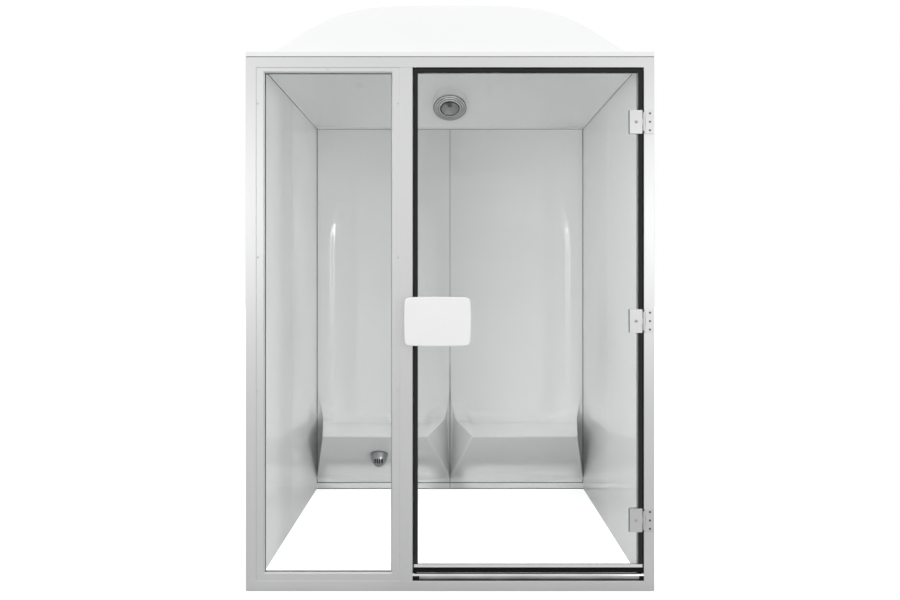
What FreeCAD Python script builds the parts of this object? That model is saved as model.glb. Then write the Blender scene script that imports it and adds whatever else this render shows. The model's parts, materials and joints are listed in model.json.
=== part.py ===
import FreeCAD
import Part
import math
import os

Vector = FreeCAD.Vector

# Steam shower cabin. Millimetres, +X to the right, +Y into the cabin, +Z up.
# The origin lies on the floor below the middle of the cabin and its handle.

# Aluminium front: four mitred box sections and a mullion
cabin_width = 1600.0
frame_height = 2092.0
frame_depth = 50.0
frame_face = 41.0
frame_wall = 3.0
frame_edge_radius = 1.5
stop_reach = 18.0
stop_thickness = 4.0
stop_setback = 30.0
mullion_face = 51.0
mullion_centre = -172.0
cleat_length = 110.0
cleat_clearance = 0.4

# Fixed pane, its beads and gaskets
glass_thickness = 8.0
pane_edge_gap = 12.0
pane_gasket_thickness = 2.5
pane_gasket_width = 10.0
pane_gasket_sight = 2.0
bead_face = 32.0
bead_top_face = 20.0
bead_setback = 3.0
bead_chamfer = 5.0
bead_screw_radius = 2.0
bead_screw_head_radius = 4.0
bead_screw_head_height = 1.6
bead_screw_inset = 6.5
bead_side_screw_shares = (0.07, 0.37, 0.63, 0.93)
bead_end_screw_shares = (0.5,)

# Shell: acrylic panels with return flanges, bolted through gaskets
cabin_depth = 1575.0
flange_depth = 25.0
side_skin = 4.0
flange_thickness = 5.0
seam_gap = 2.0
seam_gasket_inset = 1.0
panel_skin = 5.0
insulation_thickness = 18.0
insulation_inset = 20.0

# Moulded seats in the two back panels
seat_reach = 450.0
seat_height = 390.0
seat_wing_rise = 26.0
seat_seam_inset = 119.0
seat_wall_inset = 104.0
slot_width = 35.0
slot_top_rise = 144.0
seat_edge_radius = 12.0
seat_fillet = 100.0
dish_depth = 12.0
dish_wall_inset = 88.0
dish_top = 1690.0
dish_corner = 150.0
dish_fillet = 60.0
base_strip_height = 33.0
base_strip_proud = 6.0
base_groove = 2.0
riser_foot = 62.0
riser_fillet = 40.0
gusset_thickness = 15.0
gusset_spacing = 400.0
gusset_clearance = 0.3
gusset_rear_gap = 10.0
gusset_nose = 24.0

# Roof: a blown dome on a flat rim
roof_rim_height = 18.0
roof_skin = 6.0
dome_rise = 340.0

# Bolts through the flanges
bolt_radius = 4.0
bolt_hole_radius = 4.5
bolt_head_radius = 7.5
bolt_head_height = 5.5
nut_height = 6.5
nut_clearance = 0.1
bolt_spare = 3.0
bolt_height_shares = (0.08, 0.36, 0.64, 0.92)
frame_screw_radius = 2.4
frame_screw_head_radius = 5.0
frame_screw_head_height = 3.5
frame_screw_bite = 9.0

# Door leaf of glass with rubber edges
door_gap = 5.5
seal_web = 3.0
seal_face = 12.0
seal_leg = 1.8
door_glass_setback = 2.0
door_corner_radius = 6.0
channel_bottom = 94.0
channel_height = 12.0
channel_web = 3.0
channel_leg = 1.8
channel_end_gap = 5.5
sweep_height = 20.5
sweep_thickness = 9.0
sweep_notch = 4.0
threshold_height = 30.0
threshold_front_gap = 1.0
threshold_depth = 27.0
threshold_nose_radius = 14.0
threshold_foot_radius = 12.0
threshold_heel_radius = 4.0
stop_gasket_width = 14.0
stop_gasket_clearance = 0.6
stop_gasket_radius = 5.0
magnet_width = 8.0
magnet_thickness = 4.0
magnet_cover = 3.0

# Glass hinges: a clamp on the door, a leaf on the stile, one pin each
hinge_top_drop = 214.0
hinge_foot_rise = 238.0
hinge_height = 92.0
hinge_plate_thickness = 5.0
hinge_corner_radius = 3.0
clamp_width = 57.0
clamp_back_width = 36.0
clamp_edge_gap = 6.5
clamp_pad = 1.0
clamp_screw_radius = 3.0
clamp_screw_head_radius = 6.0
clamp_screw_head_height = 2.2
clamp_screw_inset = 31.0
glass_hole_radius = 6.0
leaf_width = 38.0
leaf_edge_gap = 1.0
leaf_screw_inset = 22.5
leaf_screw_pitch = 33.0
leaf_screw_radius = 2.2
leaf_screw_head_radius = 4.4
leaf_screw_head_depth = 2.2
leaf_screw_length = 16.0
knuckle_radius = 5.0
knuckle_length = 24.0
knuckle_gap = 0.5
knuckle_relief = 0.8
pin_radius = 2.5
pin_clearance = 0.05
pin_proud = 5.5

# Handle: a white plate outside and a smaller pull inside, through-bolted
handle_width = 253.0
handle_height = 189.0
handle_thickness = 14.0
handle_left = -176.0
handle_centre_height = 1059.0
handle_corner_radius = 14.0
handle_bow = 3.0
handle_bow_share = 0.7
handle_edge_radius = 4.0
handle_standoff = 46.0
pull_width = 130.0
pull_height = 150.0
pull_thickness = 12.0
pull_standoff = 45.0
post_radius = 10.0
post_pitch = 96.0
post_pad = 1.0
post_inset_share = 0.5
stud_radius = 4.0
stud_clearance = 0.1
stud_cover = 6.0

# Ceiling light in the back slope of the dome
light_seat_share = 0.893
light_ease = 16.5
light_boss_clearance = 0.7
light_fit_steps = 60
light_boss_margin = 5.0
light_radius = 92.0
light_bezel_height = 10.0
light_bezel_lip = 3.0
light_opening_radius = 62.0
light_can_radius = 68.0
light_can_wall = 2.0
light_can_depth = 80.0
light_can_clearance = 1.0
light_gasket_width = 10.0
light_gasket_thickness = 4.0
light_lens_thickness = 4.0
light_lens_crown = 12.0
light_seat_width = 5.0
light_reflector_wall = 1.5
light_reflector_depth = 48.0
light_reflector_neck = 18.0
light_lamp_radius = 14.0
light_lamp_length = 30.0
light_ring_width = 16.0
light_ring_height = 42.0
cable_entry_radius = 6.0

# Steam outlet in the left seat's riser
steam_share = 0.6
hood_radius = 47.0
hood_reach = 69.0
hood_nose_radius = 44.0
hood_wall = 2.0
hood_slot_width = 7.0
hood_slot_pitch = 16.0
hood_slot_count = 4
hood_slot_low_share = 0.62
hood_slot_high_share = 0.35
hood_slot_depth_share = 0.5
steam_gasket_thickness = 2.0
steam_gasket_width = 34.0
nipple_radius = 13.2
nipple_bore = 10.0
nipple_flange_radius = 22.0
nipple_flange_height = 6.0
nipple_tail_radius = 12.0
nipple_bend_radius = 30.0
nipple_hose_length = 44.0
nipple_thread_spare = 4.0
nipple_hole_clearance = 0.5
lock_nut_radius = 22.0
lock_nut_height = 9.0
lock_nut_clearance = 0.1

# How far a cutting body runs past what it cuts, and how near two places count as one
overrun = 20.0
match = 0.01

# Places that follow from the sizes above
half_width = cabin_width / 2
handle_reach = handle_standoff + handle_thickness - door_glass_setback
face_y = handle_reach - (handle_reach + cabin_depth) / 2
frame_back = face_y + frame_depth
back_y = face_y + cabin_depth - flange_depth
rear_y = face_y + cabin_depth
room_half = half_width - flange_depth
room_middle_y = (frame_back + back_y) / 2
opening_bottom = frame_face
opening_top = frame_height - frame_face
mullion_left = mullion_centre - mullion_face / 2
mullion_right = mullion_centre + mullion_face / 2
door_left = mullion_right
door_right = half_width - frame_face
pane_left = frame_face - half_width
pane_right = mullion_left
bolt_line = half_width - flange_depth / 2
stop_y = face_y + stop_setback
roof_z = frame_height + seam_gap
roof_top = roof_z + roof_rim_height
glass_y = face_y + door_glass_setback
glass_back = glass_y + glass_thickness
glass_left = door_left + door_gap + seal_web
glass_right = door_right - door_gap - seal_web
glass_top = opening_top - door_gap - seal_web
glass_bottom = channel_bottom + channel_web
hinge_low = opening_bottom + hinge_foot_rise
hinge_high = opening_top - hinge_top_drop
hinge_heights = {"top": hinge_high, "middle": (hinge_low + hinge_high) / 2, "bottom": hinge_low}
hinge_x = door_right
hinge_y = face_y - pin_proud


def outline(corners, place):
    """Closed wire through 2-D corners (u, v, radius), each corner rounded by a tangent arc."""
    count = len(corners)
    turns = []
    for index, (u, v, radius) in enumerate(corners):
        here = Vector(u, v, 0)
        before = (Vector(*corners[index - 1][:2], 0) - here).normalize()
        after = (Vector(*corners[(index + 1) % count][:2], 0) - here).normalize()
        half_angle = before.getAngle(after) / 2
        reach = radius / math.tan(half_angle)
        inward = (before + after).normalize() if radius else Vector(0, 0, 0)
        middle = here + inward * (radius / math.sin(half_angle) - radius)
        turns.append((here + before * reach, middle, here + after * reach))
    edges = []
    for index, (start, middle, end) in enumerate(turns):
        if corners[index][2]:
            points = [place(point.x, point.y) for point in (start, middle, end)]
            edges.append(Part.Arc(*points).toShape())
        following = turns[(index + 1) % count][0]
        line = (place(end.x, end.y), place(following.x, following.y))
        edges.append(Part.LineSegment(*line).toShape())
    return Part.Wire(edges)


def rectangle(u0, u1, v0, v1, radius=0):
    """Corners of a rectangle, all with one radius."""
    return [(u0, v0, radius), (u1, v0, radius), (u1, v1, radius), (u0, v1, radius)]


def slab(corners, y, depth):
    """Outline drawn in X and Z, carried along +Y."""
    wire = outline(corners, lambda u, v: Vector(u, y, v))
    return Part.Face(wire).extrude(Vector(0, depth, 0))


def bar(corners, x, length):
    """Outline drawn in Y and Z, carried along +X."""
    wire = outline(corners, lambda u, v: Vector(x, u, v))
    return Part.Face(wire).extrude(Vector(length, 0, 0))


def post(corners, z, height):
    """Outline drawn in X and Y, carried along +Z."""
    wire = outline(corners, lambda u, v: Vector(u, v, z))
    return Part.Face(wire).extrude(Vector(0, 0, height))


def block(x0, x1, y0, y1, z0, z1):
    """Box between two corners."""
    return Part.makeBox(x1 - x0, y1 - y0, z1 - z0, Vector(x0, y0, z0))


def rod(base, axis, radius, length):
    """Cylinder from base along axis."""
    return Part.makeCylinder(radius, length, base, axis)


def turned(corners):
    """Outline of (radius, height) corners revolved about +Z."""
    wire = outline(corners, lambda u, v: Vector(u, 0, v))
    return Part.Face(wire).revolve(Vector(0, 0, 0), Vector(0, 0, 1), 360)


def hexagon(base, axis, radius, height):
    """Six-sided prism from base along axis."""
    ring = [Vector(radius * math.cos(k * math.pi / 3), radius * math.sin(k * math.pi / 3), 0)
            for k in range(6)]
    prism = Part.Face(Part.makePolygon(ring + ring[:1])).extrude(Vector(0, 0, height))
    return prism.transformed(FreeCAD.Placement(base, FreeCAD.Rotation(Vector(0, 0, 1), axis)).toMatrix())


def mirrored(shape):
    """The same shape on the other side of the cabin's middle plane."""
    return shape.mirror(Vector(0, 0, 0), Vector(1, 0, 0))


def save(name, *solids):
    """Write one node: a single solid, or a group of separate ones."""
    shape = solids[0] if len(solids) == 1 else Part.makeCompound(list(solids))
    shape.exportStep("parts/" + name + ".step")


def frame_section(outer, inward):
    """Hollow box with a stop fin: corners across the face (from the outer edge) and in depth."""
    inner = outer + inward * frame_face
    fin = inner + inward * stop_reach
    fin_back = stop_y + stop_thickness
    shell = [(outer, face_y, frame_edge_radius), (inner, face_y, frame_edge_radius), (inner, stop_y, 0),
             (fin, stop_y, 0), (fin, fin_back, 0), (inner, fin_back, 0), (inner, frame_back, 0),
             (outer, frame_back, frame_edge_radius)]
    hollow = rectangle(outer + inward * frame_wall, inner - inward * frame_wall,
                       face_y + frame_wall, frame_back - frame_wall)
    return shell, hollow


def mitred_stile():
    """Left upright, cut at 45 degrees at both ends."""
    shell, hollow = frame_section(-half_width, 1)
    upright = post(shell, 0, frame_height).cut(post(hollow, 0, frame_height))
    reach = frame_face + stop_reach
    mitre = [(-half_width, 0, 0), (-half_width, frame_height, 0),
             (reach - half_width, frame_height - reach, 0), (reach - half_width, reach, 0)]
    upright = upright.common(slab(mitre, face_y, frame_depth))
    for z in bolt_heights():
        base = Vector(-bolt_line, frame_back + overrun, z)
        upright = upright.cut(rod(base, Vector(0, -1, 0), frame_screw_radius, overrun + frame_screw_bite))
    return upright


def mitred_rail(outer, inward):
    """Head or sill, cut at 45 degrees at both ends and notched round the mullion."""
    shell, hollow = frame_section(outer, inward)
    swap = [[(v, u, radius) for u, v, radius in ring] for ring in (shell, hollow)]
    rail = bar(swap[0], -half_width, cabin_width).cut(bar(swap[1], -half_width, cabin_width))
    reach = frame_face + stop_reach
    inner = outer + inward * reach
    mitre = [(-half_width, outer, 0), (half_width, outer, 0),
             (half_width - reach, inner, 0), (reach - half_width, inner, 0)]
    return rail.common(slab(mitre, face_y, frame_depth)).cut(mullion_envelope())


def mullion_envelope():
    """Outside of the mullion's box, between sill and head."""
    return block(mullion_left, mullion_right, face_y, frame_back, opening_bottom, opening_top)


def mullion():
    """Box section with a stop fin on each side."""
    ring = rectangle(mullion_left, mullion_right, face_y, frame_back, frame_edge_radius)
    hollow = rectangle(mullion_left + frame_wall, mullion_right - frame_wall,
                       face_y + frame_wall, frame_back - frame_wall)
    length = opening_top - opening_bottom
    box = post(ring, opening_bottom, length).cut(post(hollow, opening_bottom, length))
    fins = block(mullion_left - stop_reach, mullion_right + stop_reach, stop_y, stop_y + stop_thickness,
                 opening_bottom + stop_reach, opening_top - stop_reach)
    core = post(hollow, opening_bottom, length)
    return box.fuse(fins.cut(core)).removeSplitter()


def corner_cleats():
    """L-shaped keys that pull the mitres together inside the hollow sections."""
    inset = frame_wall + cleat_clearance
    width = frame_face - inset
    y0 = face_y + inset
    y1 = frame_back - inset
    x0 = inset - half_width
    lower = [(x0, inset, 0), (x0 + cleat_length, inset, 0), (x0 + cleat_length, width, 0),
             (width - half_width, width, 0), (width - half_width, inset + cleat_length, 0),
             (x0, inset + cleat_length, 0)]
    upper = [(x, frame_height - z, radius) for x, z, radius in lower]
    left = [slab(lower, y0, y1 - y0), slab(upper, y0, y1 - y0)]
    return left + [mirrored(cleat) for cleat in left]


def bolt_heights():
    return [share * frame_height for share in bolt_height_shares]


# Depths of the layers that hold the fixed pane, from the stop fin forwards
pane_back = stop_y - pane_gasket_thickness
pane_front = pane_back - glass_thickness
bead_back = pane_front - pane_gasket_thickness
bead_front = face_y + bead_setback


def bead_edges():
    """Inner edges of the beads: left, right, bottom, top."""
    return (pane_left + bead_face, pane_right - bead_face, opening_bottom + bead_face,
            opening_top - bead_top_face)


def bead_screw_places():
    """Screw centres in X and Z round the fixed pane."""
    height = opening_top - opening_bottom
    width = pane_right - pane_left
    places = []
    for share in bead_side_screw_shares:
        for x in (pane_left + bead_screw_inset, pane_right - bead_screw_inset):
            places.append((x, opening_bottom + share * height))
    for share in bead_end_screw_shares:
        for z in (opening_bottom + bead_screw_inset, opening_top - bead_screw_inset):
            places.append((pane_left + share * width, z))
    return places


def bead_screw(x, z):
    """Pan-headed screw through a bead into the stop fin."""
    shank = rod(Vector(x, bead_front, z), Vector(0, 1, 0), bead_screw_radius,
                stop_y + stop_thickness - bead_front)
    head = rod(Vector(x, bead_front, z), Vector(0, -1, 0), bead_screw_head_radius, bead_screw_head_height)
    return shank.fuse(head).removeSplitter()


def glazing_beads():
    """Four mitred strips with a chamfered inner edge."""
    left, right, bottom, top = bead_edges()
    outlines = {
        "left": [(pane_left, opening_bottom), (left, bottom), (left, top), (pane_left, opening_top)],
        "right": [(pane_right, opening_bottom), (right, bottom), (right, top), (pane_right, opening_top)],
        "bottom": [(pane_left, opening_bottom), (pane_right, opening_bottom), (right, bottom),
                   (left, bottom)],
        "top": [(pane_left, opening_top), (pane_right, opening_top), (right, top), (left, top)],
    }
    depth = bead_back - bead_front
    bevel = glazing_bevel()
    holes = [bead_screw(x, z) for x, z in bead_screw_places()]
    beads = {}
    for side, points in outlines.items():
        strip = slab([(x, z, 0) for x, z in points], bead_front, depth).cut(bevel)
        beads[side] = strip.cut(Part.makeCompound(holes))
    return beads


def glazing_bevel():
    """Frustum whose sloping sides chamfer the front inner edges of the beads."""
    left, right, bottom, top = bead_edges()
    wires = []
    for grow, y in ((bead_chamfer, bead_front), (0, bead_front + bead_chamfer)):
        ring = rectangle(left - grow, right + grow, bottom - grow, top + grow)
        wires.append(outline(ring, lambda u, v, y=y: Vector(u, y, v)))
    return Part.makeLoft(wires, True, True)


def pane_gaskets():
    """Rubber rings on both faces of the fixed pane; the front one shows as a thin line."""
    left, right, bottom, top = bead_edges()
    sight = pane_gasket_sight
    hole = (left + sight, right - sight, bottom + sight, top - sight)
    width = pane_gasket_width
    rims = (hole[0] - width, hole[1] + width, hole[2] - width, hole[3] + width)
    inner_hole = (pane_left + stop_reach, pane_right - stop_reach, opening_bottom + stop_reach,
                  opening_top - stop_reach)
    inner_rims = (pane_left + pane_edge_gap, pane_right - pane_edge_gap,
                  opening_bottom + pane_edge_gap, opening_top - pane_edge_gap)
    rings = []
    for rim, opening, y in ((rims, hole, bead_back), (inner_rims, inner_hole, pane_back)):
        ring = slab(rectangle(*rim), y, pane_gasket_thickness)
        rings.append(ring.cut(slab(rectangle(*opening), y, pane_gasket_thickness)))
    return rings


def fixed_pane():
    gap = pane_edge_gap
    return slab(rectangle(pane_left + gap, pane_right - gap, opening_bottom + gap, opening_top - gap),
                pane_front, glass_thickness)


def front_frame():
    """The fixed aluminium front with its glazing."""
    stile = mitred_stile()
    screws = [bead_screw(x, z) for x, z in bead_screw_places()]
    holes = Part.makeCompound(screws)
    right_stile = mirrored(stile)
    for height in hinge_heights.values():
        for screw in leaf_screws(height):
            right_stile = right_stile.cut(screw)
    save("frame_left_stile", stile.cut(holes))
    save("frame_right_stile", right_stile)
    save("frame_head", mitred_rail(frame_height, -1).cut(holes))
    save("frame_sill", mitred_rail(0, 1).cut(holes))
    save("mullion", mullion().cut(holes))
    save("frame_corner_cleats", *corner_cleats())
    for side, bead in glazing_beads().items():
        save("pane_bead_" + side, bead)
    save("bead_screws", *screws)
    save("pane_gaskets", *pane_gaskets())
    save("fixed_pane", fixed_pane())


def threshold_bar():
    """Polished half-round bar on the sill, under the door's sweep."""
    front = face_y + threshold_front_gap
    back = face_y + threshold_depth
    top = opening_bottom + threshold_height
    corners = [(front, opening_bottom, threshold_foot_radius), (back, opening_bottom, 0),
               (back, top, threshold_heel_radius), (front, top, threshold_nose_radius)]
    return bar(corners, door_left, door_right - door_left)


def stop_gaskets():
    """Black compression strips on the stop fins, with a magnet strip on the latch side."""
    front = glass_back + seal_leg + stop_gasket_clearance
    side_gap = (stop_reach - stop_gasket_width) / 2
    radius = stop_gasket_radius
    bottom = opening_bottom + threshold_height + stop_gasket_clearance
    top = opening_top - stop_reach + side_gap + stop_gasket_width
    latch = door_left + side_gap
    strip = [(latch, front, radius), (latch + stop_gasket_width, front, radius),
             (latch + stop_gasket_width, stop_y, 0), (latch, stop_y, 0)]
    upright = post(strip, bottom, top - bottom)
    hinge = [(door_left + door_right - u, v, r) for u, v, r in strip]
    head_low = opening_top - stop_reach + side_gap
    head = [(front, head_low, radius), (front, top, radius), (stop_y, top, 0), (stop_y, head_low, 0)]
    head_x = latch + stop_gasket_width
    across = bar(head, head_x, door_left + door_right - head_x - head_x)
    middle = latch + stop_gasket_width / 2
    pocket_y = front + magnet_cover
    magnet = block(middle - magnet_width / 2, middle + magnet_width / 2,
                   pocket_y, pocket_y + magnet_thickness, bottom, top)
    return [upright.cut(magnet), post(hinge, bottom, top - bottom), across], magnet


def side_panels():
    """Left-hand pans, front and rear: a flat skin with four outward flanges."""
    front_y = frame_back + seam_gap
    length = (back_y - seam_gap - front_y - seam_gap) / 2
    pans = []
    boards = []
    for start in (front_y, front_y + length + seam_gap):
        end = start + length
        pan = block(-half_width, -room_half, start, end, 0, frame_height)
        hollow = block(-half_width - overrun, -room_half - side_skin, start + flange_thickness,
                       end - flange_thickness, flange_thickness, frame_height - flange_thickness)
        pans.append(pan.cut(hollow).cut(Part.makeCompound(side_bolt_holes())))
        edge = flange_thickness + insulation_inset
        board_x = -room_half - side_skin
        boards.append(block(board_x - insulation_thickness, board_x, start + edge, end - edge,
                            edge, frame_height - edge))
    return pans, boards


def seam_places():
    """Bolt runs on the left: (outer face of the first flange, stack of flanges and gasket)."""
    middle = room_middle_y - seam_gap / 2 - flange_thickness
    corner = back_y - seam_gap - flange_thickness
    stack = flange_thickness + seam_gap
    return ((middle, stack + flange_thickness), (corner, stack + panel_skin))


def side_bolt_holes():
    """Clearance holes through the flanges of the left-hand side."""
    holes = []
    for z in bolt_heights():
        for y, stack in seam_places():
            holes.append(rod(Vector(-bolt_line, y - overrun / 2, z), Vector(0, 1, 0), bolt_hole_radius,
                             stack + overrun))
        front = Vector(-bolt_line, frame_back, z)
        holes.append(rod(front, Vector(0, 1, 0), frame_screw_radius, seam_gap + flange_thickness))
    return holes


def flange_bolt(base, axis, stack):
    """Hexagon bolt with its head at base, and the nut behind the stack."""
    head = hexagon(base - axis * bolt_head_height, axis, bolt_head_radius, bolt_head_height)
    shank = rod(base, axis, bolt_radius, stack + nut_height + bolt_spare)
    seat = base + axis * stack
    nut = hexagon(seat, axis, bolt_head_radius, nut_height)
    nut = nut.cut(rod(seat, axis, bolt_radius + nut_clearance, nut_height))
    return head.fuse(shank).removeSplitter(), nut


def seam_fasteners():
    """Bolts and nuts of all flange seams, and the screws into the aluminium frame."""
    bolts = []
    nuts = []
    screws = []
    inward = Vector(0, 1, 0)
    for z in bolt_heights():
        for y, stack in seam_places():
            bolt, nut = flange_bolt(Vector(-bolt_line, y, z), inward, stack)
            bolts += [bolt, mirrored(bolt)]
            nuts += [nut, mirrored(nut)]
        stack = flange_thickness + seam_gap + flange_thickness
        base = Vector(-stack / 2, back_y + flange_depth / 2, z)
        bolt, nut = flange_bolt(base, Vector(1, 0, 0), stack)
        bolts.append(bolt)
        nuts.append(nut)
        base = Vector(-bolt_line, frame_back + seam_gap + flange_thickness, z)
        head = rod(base, inward, frame_screw_head_radius, frame_screw_head_height)
        shank = rod(base, inward * -1, frame_screw_radius, seam_gap + flange_thickness + frame_screw_bite)
        screw = head.fuse(shank).removeSplitter()
        screws += [screw, mirrored(screw)]
    return bolts, nuts, screws


def seam_gaskets():
    """Thin strips between the flanges: frame to side, mid-side, corner and back middle."""
    low = -half_width + seam_gasket_inset
    strips = []
    for y in (frame_back, room_middle_y - seam_gap / 2, back_y - seam_gap):
        strip = block(low, -room_half - seam_gasket_inset, y, y + seam_gap, 0, frame_height)
        strip = strip.cut(Part.makeCompound(side_bolt_holes()))
        strips += [strip, mirrored(strip)]
    middle = block(-seam_gap / 2, seam_gap / 2, back_y + seam_gasket_inset, rear_y - seam_gasket_inset,
                   0, frame_height)
    for z in bolt_heights():
        hole = rod(Vector(-overrun, back_y + flange_depth / 2, z), Vector(1, 0, 0), bolt_hole_radius,
                   overrun + overrun)
        middle = middle.cut(hole)
    return strips + [middle]


def seat_profile(rear):
    """Section of a back panel in reach (towards the room) and height; rear is the back edge."""
    return [(rear, 0, 0), (base_strip_proud, 0, 0), (base_strip_proud, base_strip_height, 0),
            (0, base_strip_height + base_groove, 0), (0, riser_foot, riser_fillet),
            (seat_reach, seat_height, seat_edge_radius), (0, seat_height + seat_wing_rise, seat_fillet),
            (0, frame_height, 0), (rear, frame_height, 0)]


def wedge(first, last):
    """Solid with flat faces between two triangles whose sides are parallel."""
    rings = [first, last]
    for k in range(3):
        rings.append([first[k - 1], first[k], last[k], last[k - 1]])
    solid = Part.Solid(Part.Shell([Part.Face(Part.makePolygon(ring + ring[:1])) for ring in rings]))
    return solid.reversed() if solid.Volume < 0 else solid


def flank_slot(edge, side, front_inset, grow):
    """Wedge between a seam and a seat's flank: a kite on the wall that widens towards the room."""
    waist = seat_height + seat_wing_rise
    foot_lean = slot_width / (waist - riser_foot)
    top_lean = slot_width / slot_top_rise
    taper = (front_inset - foot_lean * (seat_height - riser_foot)) / seat_reach
    kites = []
    for reach in (-grow, seat_reach + overrun):
        spread = taper * reach + grow
        y = back_y - reach
        kites.append([Vector(edge, y, riser_foot - spread / foot_lean),
                      Vector(edge + side * (slot_width + spread), y, waist),
                      Vector(edge, y, waist + slot_top_rise + spread / top_lean)])
    return wedge(*kites)


def panel_body(rear, inset):
    """Solid seat panel, or the hollow behind it when inset by the skin."""
    inner = seam_gap / 2
    left = inner + inset
    profile = outline(seat_profile(rear), lambda u, v: Vector(left, back_y - u, v))
    if inset:
        profile = profile.makeOffset2D(-inset)
    body = Part.Face(profile).extrude(Vector(half_width - inset - left, 0, 0))
    front = back_y - seat_reach - overrun
    body = body.cut(block(room_half - inset, half_width, front, back_y + inset, 0, frame_height))
    body = body.cut(flank_slot(inner, 1, seat_seam_inset, inset))
    return body.cut(flank_slot(room_half, -1, seat_wall_inset, inset))


def seat_dish(grow):
    """Hollow pressed into the backrest and seat, with a round-shouldered top."""
    front = seat_reach + overrun
    depth = dish_depth + grow
    side = [(front, seat_height - grow, 0), (-depth, seat_height - grow, dish_fillet + grow),
            (-depth, dish_top + grow, 0), (front, dish_top + grow, 0)]
    wire = outline(side, lambda u, v: Vector(0, back_y - u, v))
    along = Part.Face(wire).extrude(Vector(half_width, 0, 0))
    left = seam_gap / 2 + seat_seam_inset - grow
    right = room_half - dish_wall_inset + grow
    corner = dish_corner + grow
    front_view = [(left, 0, 0), (right, 0, 0), (right, dish_top + grow, corner),
                  (left, dish_top + grow, corner)]
    return along.common(slab(front_view, back_y - front, front + depth))


def back_panel():
    """Right-hand back panel: seat, dished backrest and return flanges, open at the rear."""
    body = panel_body(-flange_depth, 0).cut(seat_dish(0))
    hollow = panel_body(-flange_depth - panel_skin - overrun, panel_skin).cut(seat_dish(panel_skin))
    panel = body.cut(hollow)
    for z in bolt_heights():
        middle = Vector(seam_gap / 2, back_y + flange_depth / 2, z)
        panel = panel.cut(rod(middle, Vector(1, 0, 0), bolt_hole_radius, flange_thickness))
        panel = panel.cut(rod(Vector(bolt_line, back_y, z), Vector(0, 1, 0), bolt_hole_radius, panel_skin))
    return panel


def riser_frame():
    """Foot and edge of the seat's riser, its direction and its outward normal, in Y and Z."""
    foot = Vector(0, 0, riser_foot)
    edge = Vector(0, -seat_reach, seat_height)
    up = (edge - foot).normalize()
    outward = Vector(0, -up.z, up.y)
    return foot, edge, up, outward


def seat_gussets():
    """Triangular plywood knees glued under each seat, right and left."""
    foot, edge, up, outward = riser_frame()
    inside = panel_skin + gusset_clearance
    top = seat_height - inside
    rear = gusset_rear_gap - flange_depth
    slope = up.z / -up.y
    shift = inside / -up.y
    low = base_strip_height + riser_foot

    def riser_reach(z):
        return (z - riser_foot - shift) / slope

    nose = riser_reach(top - gusset_nose)
    corners = [(rear, low, 0), (riser_reach(low), low, 0), (nose, top - gusset_nose, 0), (nose, top, 0),
               (rear, top, 0)]
    corners = [(back_y - reach, z, radius) for reach, z, radius in corners]
    middle = (room_half + seam_gap / 2) / 2
    plates = []
    for side in (-1, 1):
        x = middle + side * gusset_spacing / 2 - gusset_thickness / 2
        plates.append(bar(corners, x, gusset_thickness))
    return plates + [mirrored(plate) for plate in plates]


def steam_placement():
    """Frame of the steam outlet: on the left riser, local +Z out of the riser, local +Y up it."""
    foot, edge, up, outward = riser_frame()
    middle = (room_half + seam_gap / 2) / 2
    spot = foot + (edge - foot) * steam_share
    point = Vector(-middle, back_y + spot.y, spot.z)
    across = up.cross(outward)
    turn = FreeCAD.Rotation(across, up, outward, "ZXY")
    return FreeCAD.Placement(point, turn)


def steam_outlet():
    """Slotted bullet hood, its gasket, the hose nipple and the lock nut behind the riser."""
    seat = steam_gasket_thickness
    hood = hood_body(0).cut(hood_body(hood_wall))
    low = -hood_radius * hood_slot_low_share
    high = hood_radius * hood_slot_high_share
    for index in range(hood_slot_count):
        x = (index - (hood_slot_count - 1) / 2) * hood_slot_pitch
        hood = hood.cut(block(x - hood_slot_width / 2, x + hood_slot_width / 2, low, high,
                              hood_reach * hood_slot_depth_share, hood_reach + overrun))
    hood.translate(Vector(0, 0, seat))
    gasket = turned(rectangle(hood_radius - steam_gasket_width, hood_radius, 0, seat))
    thread = -panel_skin - lock_nut_height - nipple_thread_spare
    top = seat + nipple_flange_height
    stem = turned([(0, thread, 0), (nipple_radius, thread, 0), (nipple_radius, seat, 0),
                   (nipple_flange_radius, seat, 0), (nipple_flange_radius, top, 0), (0, top, 0)])
    nipple = stem.fuse(hose_elbow(thread, nipple_tail_radius, 0)).removeSplitter()
    nipple = nipple.cut(hose_elbow(thread, nipple_bore, overrun + overrun))
    gasket = gasket.cut(rod(Vector(0, 0, 0), Vector(0, 0, 1), nipple_radius + nipple_hole_clearance, seat))
    nut_top = -panel_skin
    nut = hexagon(Vector(0, 0, nut_top - lock_nut_height), Vector(0, 0, 1), lock_nut_radius, lock_nut_height)
    nut = nut.cut(rod(Vector(0, 0, thread), Vector(0, 0, 1), nipple_radius + lock_nut_clearance, -thread))
    matrix = steam_placement().toMatrix()
    pieces = {"steam_hood": hood, "steam_gasket": gasket, "steam_nipple": nipple, "steam_lock_nut": nut}
    return {name: piece.transformed(matrix) for name, piece in pieces.items()}


def hood_body(inset):
    """Round-nosed bullet, inset from the hood's outside."""
    radius = hood_radius - inset
    reach = hood_reach - inset
    return turned([(0, 0, 0), (radius, 0, 0), (radius, reach, hood_nose_radius - inset), (0, reach, 0)])


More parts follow.
